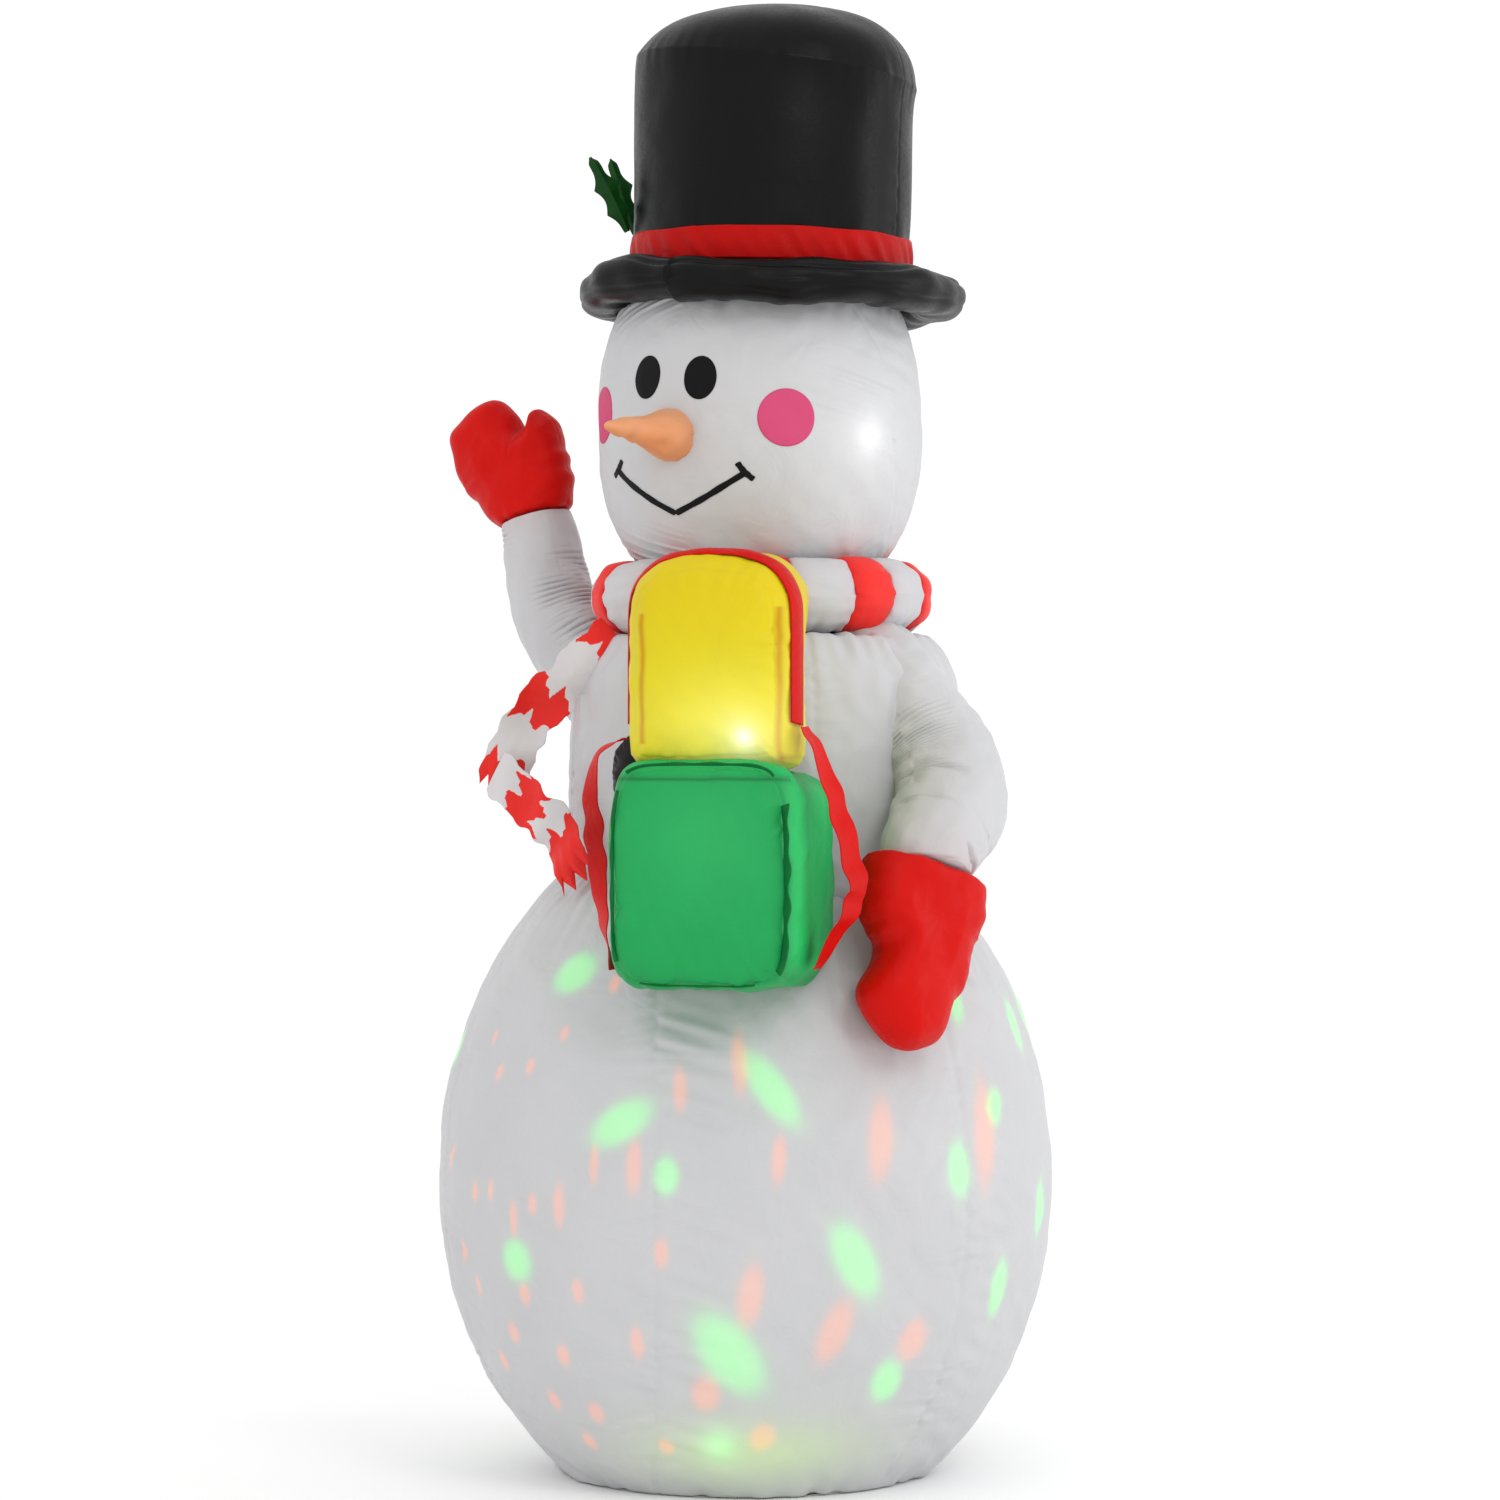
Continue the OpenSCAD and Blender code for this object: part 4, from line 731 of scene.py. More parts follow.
def stroke(name, xs, zs_, width, nodes):
    """A painted line on the face, from points (x, z), with rounded ends."""
    q = even(np.c_[xs, zs_], 90)
    t = unit(np.gradient(q, axis=0))
    side = np.c_[-t[:, 1], t[:, 0]]
    s = np.linspace(0, 1, len(q))
    end = np.minimum(s, 1 - s) * len(q) / 3
    half = width / 2 * np.sqrt(np.clip(1 - (1 - np.clip(end, 0, 1)) ** 2, 0.02, 1)) * (1 + 0.12 * ripple(s, 0.4, 7))
    across = np.linspace(-1, 1, 7)
    grid = np.stack([q + side * (half * c)[:, None] for c in across], 1)
    top = on_head(0, grid[..., 0], grid[..., 1], 0.0006)
    return finish_piece(shell(name, top[:, ::-1], 0.0008), MAT["ink"], nodes)


def smile(x):
    f = np.abs(x) / 0.092
    return 1.1855 + 0.0515 * (0.74 * f + 0.26 * f * f)


def rolled(x, z):
    """A point of the mouth's pattern turned about the nose by the roll of the face."""
    up = z - NOSE_Z
    return x * math.cos(ROLL) + up * math.sin(ROLL), NOSE_Z + up * math.cos(ROLL) - x * math.sin(ROLL)


for side, label in ((-1, "right"), (1, "left")):
    xs = side * np.linspace(0, 0.092, 40)
    stroke(f"smile_{label}", *rolled(xs, smile(xs)), 0.0072, ["mouth"])
    turn = math.radians(side * -48)
    reach = np.linspace(-0.013, 0.013, 12)
    stroke(f"smile_end_{label}", *rolled(side * 0.092 + reach * math.cos(turn),
                                         1.237 + reach * math.sin(turn) + 0.002 * (reach / 0.013) ** 2),
           0.0072, ["mouth"])


def build_nose():
    f = np.array([-0.10, 0.0, 0.05, 0.11, 0.2, 0.3, 0.46, 0.6, 0.75, 0.88, 0.95, 0.985, 1.0])
    r = np.array([27.5, 30.0, 31.0, 31.0, 28.0, 23.0, 17.6, 14.8, 12.0, 8.6, 5.6, 3.0, 0.5]) / 1000
    path = even(smooth_path(np.c_[f * 0.152, r], 10), 150)
    az = around(110)[None, :]
    y, rad = path[:, 0][:, None], path[:, 1][:, None]
    tilt = math.radians(1.6)
    axis = np.array([0, -math.cos(tilt), math.sin(tilt)])
    lift = np.array([0, math.sin(tilt), math.cos(tilt)])
    at = HEAD_AT + np.array([0, -0.195, NOSE_Z])
    droop = -0.004 * (np.clip(y / 0.152, 0, 1) - 0.4) ** 2
    s = y / 0.152 + 0 * az
    rough = 0.0007 * waves(np.stack([rad * np.cos(az), rad * np.sin(az), y + 0 * az], -1), 0.03, 31)
    rough += 0.0009 * bell(s - 0.34, 0.10) * ripple(az * 0.03, 0.03, 32)
    rough += 0.0008 * dying(s, 0.08) * ripple(az * 0.03, 0.012, 33)
    rough += seam(wrapped(az - math.pi) * rad, y + 0 * az, 0.0006, 0.008, 0.010, 34)
    rad = np.maximum(rad + rough * np.clip((1 - s) * 8, 0, 1), 0.0004)
    p = (at + axis * y[..., None] + (lift * (np.cos(az) * rad + droop)[..., None])
         + np.array([1.0, 0, 0]) * (np.sin(az) * rad)[..., None])
    under = 0.5 - 0.5 * np.cos(az)
    waist = bell(s - 0.42, 0.16) * (0.4 + 0.6 * under)
    shade = np.clip(0.35 * under + 0.30 * waist + 0.16 * bell(s - 0.02, 0.06), 0, 1)
    tint = 1 - shade[..., None] * (1 - np.array([0.97, 0.72, 0.50]))
    return loft("nose_carrot", p[:, ::-1], paint={"tint": tint[:, ::-1], "glow": DARK})


finish_piece(build_nose(), MAT["orange"], ["nose"])


# ------------------------------------------------------------------ hat
HAT_AT = RIGHT * 0.032
HAT_SPIN = np.array(Matrix.Rotation(math.radians(1.2), 3, Vector((-math.sin(LEAN), math.cos(LEAN), 0))))


def in_hat(p):
    pivot = np.array([0, 0, 1.466])
    return (p - pivot) @ HAT_SPIN.T + pivot + HAT_AT


def build_crown():
    a = np.radians(np.linspace(3, 88.5, 60))
    dome = np.c_[0.174 * np.cos(a) ** (2 / 2.3), 1.731 + 0.095 * np.sin(a) ** (2 / 2.3)]
    side = np.c_[np.interp(np.linspace(0, 1, 50), [0, 0.5, 1], [0.172, CROWN_R, CROWN_R]),
                 np.linspace(1.455, 1.728, 50)]
    path = even(np.vstack([side, dome]), 320)
    az = around(420)[None, :]
    r, z = path[:, 0][:, None] + 0 * az, path[:, 1][:, None] + 0 * az
    az = np.broadcast_to(az, z.shape)
    p = turned(az, r, z)
    d = 0.0010 * waves(p, 0.16, 41) + 0.0002 * waves(p, 0.06, 42)
    across = p @ RIGHT
    ring_z = 1.742 - 0.10 * across
    d += 0.0042 * np.exp(-np.abs(z - ring_z) / 0.016)
    d += 0.0005 * bell(z - ring_z, 0.02) * ripple(az * CROWN_R, 0.03, 43)
    for k in range(2):
        off = wrapped(az - math.radians(95 + 180 * k))
        d += np.where(np.abs(off) < 0.5, seam(off * CROWN_R, z, 0.0009, 0.018, 0.024, 44 + k), 0)
    d += 0.0009 * dying(z - 1.534, 0.02) * ripple(az * CROWN_R, 0.05, 46)
    d -= 0.0020 * bell(z - 1.515, 0.03)
    p = p + normals(p) * d[..., None]
    return loft("hat_crown_bag", in_hat(p))


finish_piece(build_crown(), MAT["black"], ["hat_crown"])


def build_band():
    az = around(420)[None, :]
    v = np.linspace(0, 1, 26)[:, None]
    z = 1.4945 + 0.0395 * v + 0.0012 * ripple(az * CROWN_R, 0.12, 51)
    swell = 0.0016 + (0.0018 + 0.0011 * ripple(az * CROWN_R + 0.02 * v, 0.03, 52)) * np.sin(np.pi * v)
    outer = turned(az, 0.1735 + swell, z)
    inner = turned(az, 0.1715, z[::-1])
    p = in_hat(np.concatenate([outer, inner], 0))
    return loft("hat_band_ribbon", p, "joined", {"tint": (0.82, 0.62, 0.62), "glow": DARK})


band = finish_piece(build_band(), MAT["red"], ["hat_band"])


def build_brim():
    az = around(640)[:, None]
    b = around(120)[None, :]
    power = 2 / 2.35
    cx = np.sign(np.cos(b)) * np.abs(np.cos(b)) ** power
    cz = np.sign(np.sin(b)) * np.abs(np.sin(b)) ** power
    s = az * 0.211
    mid = 0.2065 + 0.0018 * ripple(s, 0.22, 61)
    half_w = 0.0325 + 0.0018 * ripple(s, 0.16, 62)
    half_h = 0.0265 + 0.0022 * ripple(s, 0.19, 63)
    r, z = mid + half_w * cx, 1.4655 + 0.0036 * ripple(s, 0.30, 64) + half_h * cz
    d = (-0.0040 * bell(wrapped(b - 0.75 - 0.2 * ripple(s, 0.3, 65)), 0.16)
         - 0.0016 * bell(wrapped(b + 0.35 + 0.2 * ripple(s, 0.25, 66)), 0.14)
         + 0.0012 * bell(wrapped(b - 2.6), 0.7) * ripple(s, 0.036, 67)
         + 0.0014 * bell(wrapped(b + 2.2), 0.7) * ripple(s, 0.045, 68)
         + 0.0012 * ripple(s + 0.01 * b, 0.09, 69) * bell(wrapped(b), 1.4))
    p = turned(az, r, z)
    d = d + 0.0009 * waves(p, 0.07, 60)
    p = p + unit(np.stack([np.cos(b) * np.sin(az), -np.cos(b) * np.cos(az), np.sin(b) + 0 * az], -1)) * d[..., None]
    return loft("hat_brim_tube", in_hat(p)[:, ::-1], "joined")


finish_piece(build_brim(), MAT["black"], ["hat_brim"])


def leaf(name, az_deg, tilt_deg, z0, length, width, seed):
    """A holly leaf: hollow sides between points, a creased midrib, and a curl."""
    u = np.linspace(0, 1, 90)[:, None]
    v = np.linspace(-1, 1, 41)[None, :]
    lobes = 1 - 0.45 * np.abs(np.sin(np.pi * (u * 3.0 + 0.2)))
    half = width * np.clip(np.sin(np.pi * np.clip(0.04 + 0.96 * u, 0, 1)), 0.02, 1) ** 0.7 * lobes
    x, y = v * half, u * length
    lift = 0.10 * length * (u - 0.3) ** 2 * 2 - 0.30 * width * (1 - np.abs(v)) ** 1.5 * 0.6
    lift = lift + 0.05 * width * ripple(u * length + 0 * v, 0.03, seed) * np.abs(v)
    a = math.radians(az_deg)
    out = np.array([math.sin(a), -math.cos(a), 0])
    flat = np.array([math.cos(a), math.sin(a), 0])
    t = math.radians(tilt_deg)
    along = UP * math.cos(t) + out * math.sin(t)
    face = np.cross(flat, along)
    turn = math.radians(70)
    wide = flat * math.cos(turn) + face * math.sin(turn)
    normal = np.cross(wide, along)
    root = out * 0.171 + np.array([0, 0, z0])
    p = root + wide * (x + width * 0.6)[..., None] + along * (y + 0 * v)[..., None] + normal * lift[..., None]
    obj = finish_piece(shell(name, in_hat(p), 0.0016), MAT["leaf"], ["holly_leaves"])
    return obj


leaf("holly_front", -54, 26, 1.545, 0.104, 0.019, 71)
leaf("holly_back", -76, 20, 1.548, 0.104, 0.017, 72)


# ------------------------------------------------------------------ scarf
COLLAR_AT = RIGHT * 0.020


def collar_grid(a0, a1, seed):
    n = int((a1 - a0) / 0.45) + 2
    az = np.radians(np.linspace(a0, a1, n))[:, None]
    b = around(110)[None, :]
    edge = np.minimum(az - az[0], az[-1] - az) * 0.19
    tube = 0.0465 - 0.0040 * np.exp(-edge / 0.006)
    run = 0.0009 * np.exp(-edge / 0.016) * ripple(b * 0.0465, 0.024, seed) \
        + 0.0010 * ripple(b * 0.0465 + 0.3 * edge, 0.05, seed + 1)
    under = bell(wrapped(b + 1.4), 0.6)
    run = run + 0.0012 * under * ripple(az * 0.19, 0.024, seed + 2)
    r = 0.167 + (tube + run) * np.cos(b)
    z = 1.087 + (tube + run) * 0.985 * np.sin(b) - 0.0025 * ripple(az * 0.167, 0.4, 80) * 0.5
    return turned(az, r, z, COLLAR_AT)[:, ::-1], edge


def build_collar(name, start, span, material, nodes, tint):
    verts, faces, tints, base = [], [], [], 0
    for i in range(9):
        p, edge = collar_grid(start + 40 * i, start + 40 * i + span, 200 + 7 * i + int(start))
        rows, cols = p.shape[:2]
        k = np.arange(rows * cols).reshape(rows, cols) + base
        q = np.roll(k, -1, 1)
        faces += np.stack([k[:-1], q[:-1], q[1:], k[1:]], -1).reshape(-1, 4).tolist()
        faces += [k[0, ::-1].tolist(), k[-1].tolist()]
        verts.append(p.reshape(-1, 3))
        # painted shade in the pinched joins between stripes: the red darkens and the white turns pinkish
        fade = np.exp(-edge / 0.012) + 0 * p[..., 0]
        tints.append((1 - fade[..., None] * (1 - np.array(tint))).reshape(-1, 3))
        base += rows * cols
    tints = np.vstack(tints)
    obj = make(name, np.vstack(verts), faces, {"tint": tints, "glow": DARK})
    return finish_piece(obj, MAT[material], nodes)


build_collar("collar_red", 65, 18, "scarf_red", ["scarf_collar_red"], (0.85, 0.7, 0.7))
build_collar("collar_white", 83, 22, "white", ["scarf_collar_white"], (1.0, 0.86, 0.87))


def tail_leg(name, path, depth, stripes, first_red, plane, jag, seed):
    """A flat strip of scarf along (across, height) points, its stripes cut in rough points."""
    q = even(smooth_path(path, 20), 260)
    t = unit(np.gradient(q, axis=0))
    side = np.c_[-t[:, 1], t[:, 0]]
    s = np.linspace(0, 1, len(q))[:, None]
    length = np.sum(np.linalg.norm(np.diff(q, axis=0), axis=1))
    v = np.linspace(-1, 1, 61)[None, :]
    tri = lambda x: 2 * np.abs(2 * (x - np.floor(x + 0.5))) - 1
    half = 0.029 * (1 + 0.10 * ripple(s * length, 0.05, seed) + 0.07 * tri(s * length / 0.031 + 0.2))
    x = v * half
    ragged = 0.010 * tri(v * 1.6 + 0.2) * (s > 0.5) * s ** 8
    out = 0.004 * ripple(s * length + 0.35 * x, 0.10, seed + 1) \
        + 0.008 * (v ** 2 - 0.3) * ripple(s * length, 0.14, seed + 2)
    flat = q[:, None, :] + side[:, None, :] * x[..., None] + t[:, None, :] * ragged[..., None]
    p = plane(flat[..., 0], flat[..., 1], out + depth)
    zig = jag * tri(v * 0.9 + 0.3 * ripple(s, 0.6, seed + 4)) + 0.35 * jag * tri(v * 2.3)
    f = s + zig / length
    index = np.searchsorted(np.array(stripes[1:-1]), f)
    white = (index % 2 == 1) if first_red else (index % 2 == 0)
    cells = white[:-1, :-1]
    tint = np.where(white[..., None], np.array([1.0, 0.95, 0.955]), np.array([0.95, 0.85, 0.85]))
    # painted shade in the dips of the folds, and painted light given out by the white stripes
    fold = 0.5 + 0.5 * np.tanh(out / 0.004)
    tint = tint * (0.92 + 0.08 * fold[..., None])
    lit = 0.10 * white[..., None] * np.array([1.0, 0.96, 0.96])
    obj = shell(name, p, 0.0012, {"tint": tint, "glow": lit}, material_of=cells)
    finish_piece(obj, [MAT["scarf_red"], MAT["white"]], ["scarf_tail_red", "scarf_tail_white"])
    return obj


def upper_plane(across, height, out):
    return RIGHT * across[..., None] + TOWARD * (0.085 + out)[..., None] + UP * height[..., None]


def lower_plane(across, height, out):
    yaw = math.radians(-38)
    along = RIGHT * math.cos(yaw) + np.cross(UP, RIGHT) * math.sin(yaw)
    face = np.cross(along, UP)
    origin = RIGHT * -0.300 + TOWARD * 0.092
    return origin + along * across[..., None] + face * out[..., None] + UP * height[..., None]


tail_leg("scarf_tail_upper", [(-0.158, 1.040), (-0.232, 0.972), (-0.276, 0.917), (-0.303, 0.853)],
         0.0, [0, 0.13, 0.42, 0.62, 0.86, 1], True, upper_plane, 0.010, 81)
tail_leg("scarf_tail_lower", [(-0.004, 0.872), (0.050, 0.832), (0.090, 0.800), (0.130, 0.744)],
         0.004, [0, 0.2, 0.48, 0.64, 1], False, lower_plane, 0.011, 91)


# ------------------------------------------------------------------ arms
def build_arm(name, path, seed, elbow=None):
    line = even(smooth_path(path, 16), 260)
    t, u, v = frames_along(line)
    s = np.r_[0, np.cumsum(np.linalg.norm(np.diff(line[:, :3], axis=0), axis=1))][:, None]
    b = around(150)[None, :]
    outward = u[:, None, :] * np.cos(b)[..., None] + v[:, None, :] * np.sin(b)[..., None]
    r = line[:, 3][:, None]
    p = line[:, None, :3] + outward * r[..., None]
    d = 0.0011 * waves(p, 0.09, seed) + 0.0005 * waves(p, 0.035, seed + 1)
    bend = np.gradient(t, axis=0) / np.gradient(s[:, 0])[:, None]
    inner = np.clip((outward * bend[:, None, :]).sum(-1) / 8, 0, 1)
    d += -0.005 * inner * (0.5 + 0.5 * ripple(s + 0.3 * b * r, 0.045, seed + 2))
    d += 0.0008 * inner * waves(p, 0.04, seed + 3)
    end = s[-1] - s
    d += 0.0010 * np.exp(-end / 0.015) * ripple(b * r, 0.03, seed + 4) - 0.0012 * np.exp(-end / 0.005)
    d += 0.0012 * dying(s - 0.05, 0.03) * ripple(b * r, 0.03, seed + 5)
    for k in range(2):
        off = wrapped(b - math.pi * (k + 0.3))
        d += seam(off * r, s + 0 * b, 0.0008, 0.012, 0.020, seed + 6 + k) * (np.abs(off) < 1)
    p = p + outward * d[..., None]
    # painted light: pink where the red mitten shows through the white cloth at the arm's end
    painted_red_showthrough = dying(end - 0.004, 0.022)[..., None] * np.ones((1, 150, 1))
    tint = 1 - 0.55 * painted_red_showthrough * (1 - np.array([1.0, 0.80, 0.79]))
    # painted light: a faint yellow cast near the elbow, beside the lit gifts
    if elbow is not None:
        near = bell(np.linalg.norm(p - np.array(elbow), axis=-1), 0.07)[..., None]
        tint = tint * (1 - 0.12 * near * (1 - np.array([0.97, 1.0, 0.70])))
    return loft(name, p, paint={"tint": tint * 0.99, "glow": DARK})


finish_piece(build_arm("arm_raised", RIGHT_ARM, 300), MAT["white"], ["right_arm"])
finish_piece(build_arm("arm_hanging", LEFT_ARM, 320, elbow=(0.25, -0.09, 0.80)), MAT["white"],
             ["left_arm"])


# ------------------------------------------------------------------ mittens
def inside_distance(q, outline):
    """Signed distance of 2-D points to a closed outline, positive inside."""
    a, b = outline, np.roll(outline, -1, 0)
    best = np.full(len(q), 1e9)
    inside = np.zeros(len(q), bool)
    for p0, p1 in zip(a, b):
        e = p1 - p0
        w = q - p0
        t = np.clip(w @ e / (e @ e), 0, 1)
        best = np.minimum(best, np.linalg.norm(w - t[:, None] * e, axis=1))
        cross = (p0[1] > q[:, 1]) != (p1[1] > q[:, 1])
        x = p0[0] + (q[:, 1] - p0[1]) * e[0] / (e[1] if e[1] else 1e-12)
        inside ^= cross & (q[:, 0] < x)
    return np.where(inside, best, -best)


def pressed(obj, cap, frames=14, pressure=4.0):
    """Blows the shape up as cloth, and keeps each point within cap of where it was."""
    before = points_of(obj)
    cl = obj.modifiers.new("cloth", "CLOTH")
    cl.settings.use_pressure = True
    cl.settings.uniform_pressure_force = pressure
    cl.settings.tension_stiffness = 30
    cl.settings.compression_stiffness = 30
    cl.settings.shear_stiffness = 10
    cl.settings.bending_stiffness = 0.3
    cl.settings.quality = 6
    cl.settings.effector_weights.gravity = 0
    cl.point_cache.frame_start, cl.point_cache.frame_end = 1, frames
    scene = bpy.context.scene
    for f in range(1, frames + 1):
        scene.frame_set(f)
    evaluated(obj)
    scene.frame_set(1)
    after = points_of(obj)
    if len(after) == len(before):
        move = after - before
        size = np.linalg.norm(move, axis=1, keepdims=True)
        after = before + move * np.minimum(1, cap / np.maximum(size, 1e-9))
        move_points(obj, after)
    return obj


def remeshed(obj, size):
    m = obj.modifiers.new("remesh", "REMESH")
    m.mode, m.voxel_size, m.use_smooth_shade = "VOXEL", size, True
    return evaluated(obj)


def relax(obj, times, factor=0.5):
    m = obj.modifiers.new("smooth", "SMOOTH")
    m.factor, m.iterations = factor, times
    return evaluated(obj)


def finer(obj):
    m = obj.modifiers.new("finer", "SUBSURF")
    m.levels = m.render_levels = 1
    return evaluated(obj)


def hand_frame(path, turn_deg):
    tip = np.array(path[-1][:3])
    d = unit(tip - np.array(path[-2][:3]))
    phi, theta = math.atan2(d[1], d[0]), math.acos(d[2])
    lean = Matrix.Rotation(phi, 3, "Z") @ Matrix.Rotation(theta, 3, "Y")
    return tip, np.array(lean @ Matrix.Rotation(math.radians(turn_deg), 3, "Z"))


def build_mitten(name, path, turn_deg, outline, cuff_r, depth, seed, node_name):
    """Two flat panels sewn along an outline and blown up: round at the cuff, fuller in the palm."""
    smooth = smooth_path(np.array(outline), 8)
    closed = np.vstack([[smooth[0][0], -0.06], smooth, [smooth[-1][0], -0.06]])
    body = closed.copy()
    body[:, 1] = np.maximum(body[:, 1], 0.0006)
    body = body[1:-1]
    tris = tessellate_polygon([[Vector((x, 0, z)) for x, z in body]])
    n = len(body)
    verts = [(x, -0.005, z) for x, z in body] + [(x, 0.005, z) for x, z in body]
    faces = [[a, b, c] for a, b, c in tris] + [[a + n, c + n, b + n] for a, b, c in tris]
    faces += [[i, (i + 1) % n, (i + 1) % n + n, i + n] for i in range(n)]
    obj = make(name, verts, faces)
    outward_faces(obj)
    remeshed(obj, 0.0036)
    co = points_of(obj)
    dist = np.maximum(inside_distance(co[:, [0, 2]], closed), 0)
    full = cuff_r + (depth - cuff_r) * np.clip(co[:, 2] / 0.07, 0, 1)
    k = np.clip(dist / full, 0, 1)
    half = full * np.sqrt(1 - (1 - k) ** 2)
    co[:, 1] = co[:, 1] / 0.005 * np.maximum(half, 0.0012)
    move_points(obj, co)
    relax(obj, 2)
    pressed(obj, 0.004)
    relax(obj, 2, 0.4)
    finer(obj)
    co = points_of(obj)
    nor = np.array([v.normal for v in obj.data.vertices], float)
    dist = inside_distance(co[:, [0, 2]], closed)
    angle = np.arctan2(co[:, 2] - 0.07, co[:, 0])
    edge = dying(dist, 0.012)
    d = 0.0008 * edge * ripple(angle * 0.07, 0.022, seed) - 0.0008 * bell(co[:, 1], 0.0016) * edge
    d += 0.0014 * waves(co, 0.07, seed + 1) * np.clip(co[:, 2] / 0.03, 0, 1)
    # creases run in from the edge seam and die away towards the palm
    inward = dying(dist, 0.022)
    d += 0.0015 * inward * ripple(angle * 0.07 + 0.3 * dist, 0.038, seed + 3)
    d += 0.0010 * dying(co[:, 2], 0.012) * ripple(np.arctan2(co[:, 1], co[:, 0]) * 0.05, 0.03, seed + 2)
    co = co + nor * d[:, None]
    co[:, 2] = np.maximum(co[:, 2], 0.0004)
    tip, m = hand_frame(path, turn_deg)
    # painted shade: darker along the pinched edge seam and towards the cuff, where it meets the arm
    tint = np.ones((len(co), 3)) * (1 - 0.10 * edge[:, None] * np.array([0.6, 1, 1]))
    low = dying(co[:, 2], 0.006)[:, None]
    tint *= 1 - 0.18 * low
    move_points(obj, co @ m.T + tip)
    paint_points(obj.data, {"tint": tint, "glow": DARK})
    finish_piece(obj, MAT["red"], [node_name])
    return obj


# Outlines go up the side away from the thumb, over the fingers, and down the thumb's side: (x, z) from the cuff.
RAISED = [(-0.050, 0.0), (-0.070, 0.028), (-0.087, 0.058), (-0.098, 0.092), (-0.099, 0.118), (-0.088, 0.146),
          (-0.060, 0.160), (-0.034, 0.169), (-0.012, 0.164), (0.004, 0.142), (0.017, 0.120), (0.028, 0.124),
          (0.040, 0.136), (0.056, 0.126), (0.066, 0.100), (0.068, 0.066), (0.064, 0.030), (0.052, 0.0)]
HANGING = [(-0.080, -0.002), (-0.086, 0.026), (-0.079, 0.080), (-0.064, 0.144), (-0.051, 0.188), (-0.034, 0.212),
           (-0.006, 0.226), (0.018, 0.226), (0.044, 0.213), (0.061, 0.193), (0.068, 0.166), (0.064, 0.136),
           (0.060, 0.112), (0.074, 0.092), (0.088, 0.066), (0.092, 0.034), (0.082, -0.002)]
build_mitten("mitten_raised", RIGHT_ARM, 180, RAISED, 0.046, 0.036, 340, "right_mitten")
build_mitten("mitten_hanging", LEFT_ARM, 216, HANGING, 0.049, 0.038, 350, "left_mitten")


# ------------------------------------------------------------------ gifts
GIFT_AT = RIGHT * -0.026 + TOWARD * 0.338
YAW = math.radians(17)
GIFT_X = np.array([math.cos(YAW), math.sin(YAW), 0])
GIFT_Y = np.array([-math.sin(YAW), math.cos(YAW), 0])


def in_gifts(x, y, z):
    return GIFT_AT + GIFT_X * x[..., None] + GIFT_Y * y[..., None] + UP * z[..., None]


def clear_of_body(p, gap=0.0008):
    """Points that would be inside the torso or the ball move out to their surfaces."""
    rel = (p - TORSO_AT)[..., :2]
    rho = np.linalg.norm(rel, axis=-1)
    hit = (rho < TORSO_R + gap) & (p[..., 2] < 1.0)
    push = np.where(hit, (TORSO_R + gap) / np.maximum(rho, 1e-6), 1)[..., None]
    p = np.concatenate([rel * push + TORSO_AT[:2], p[..., 2:]], -1)
    rho = np.linalg.norm(p[..., :2], axis=-1)
    h = np.where(p[..., 2] < BALL_Z, BALL_LOW, BALL_HIGH)
    k = np.sqrt((rho / BALL_R) ** 2 + ((p[..., 2] - BALL_Z) / h) ** 2)
    hit = (k < 1 + gap / 0.4) & (rho > 0.1)
    grow = np.where(hit, (1 + gap / 0.4) / np.maximum(k, 1e-6), 1)
    out = p.copy()
    out[..., :2] *= grow[..., None]
    out[..., 2] = BALL_Z + (p[..., 2] - BALL_Z) * grow
    return out


def squarer(k, c):
    """The share k of the way out to an outline, carried further out by c before it reaches the edge."""
    return k * c / (1 + (c ** 12 - 1) * k ** 12) ** (1 / 12)


def puffed(outline, centre_z, half_d, power, seed, rows=260, bulge=0.006, pucker=0.0022, reach=0.022, pitch=0.017,
           square=(1.0, 1.0), taper=0.0):
    """A blown-up box: an outline (x, z) carried from the middle of the front face, round its edge, to the back.

    square makes the edges below and above the centre squarer in height."""
    tau = np.linspace(0.0012, math.pi - 0.0012, rows)[:, None]
    # steps crowd towards the two edge seams
    tau = tau + 0.06 * np.sin(4 * tau)
    k = np.abs(np.sin(tau)) ** (2 / power)
    y = -half_d * np.sign(np.cos(tau)) * np.abs(np.cos(tau)) ** (2 / power)
    x0, z0 = outline[:, 0][None, :], outline[:, 1][None, :] - centre_z
    x = k * x0
    z = centre_z + np.where(z0 < 0, squarer(k, square[0]), squarer(k, square[1])) * z0
    s = np.r_[0, np.cumsum(np.linalg.norm(np.diff(outline, axis=0), axis=1))][None, :] + 0 * x
    corner = 2 ** (-1 / power)
    size = np.hypot(x0, z0)
    front_edge = np.minimum(np.hypot((k - corner) * size, y + half_d * corner),
                            np.hypot((k - corner) * size, y - half_d * corner))
    toward_face = np.where(k < corner, -1, 1)
    d = seam(front_edge * toward_face, s, pucker, reach, pitch, seed)
    face = np.clip(1 - k / 0.95, 0, 1)
    y = y + np.sign(y) * bulge * np.sqrt(face)
    x = x * (1 - taper * np.clip((y + 0.01) / 0.06, 0, 1) * np.clip((1.09 - z) / 0.06, 0, 1))
    if square[1] > 1:
        # the top rolls up at the front, against the box above
        z = z + 0.015 * bell(y + 0.083, 0.026) * np.clip((z - 0.83) / 0.03, 0, 1)
    p = in_gifts(x, y, z)
    d = d + 0.0012 * waves(p, 0.09, seed + 5) + 0.0004 * waves(p, 0.03, seed + 6)
    d = d * np.clip(k * 4, 0, 1)
    return p, d, k, y, x, z, front_edge


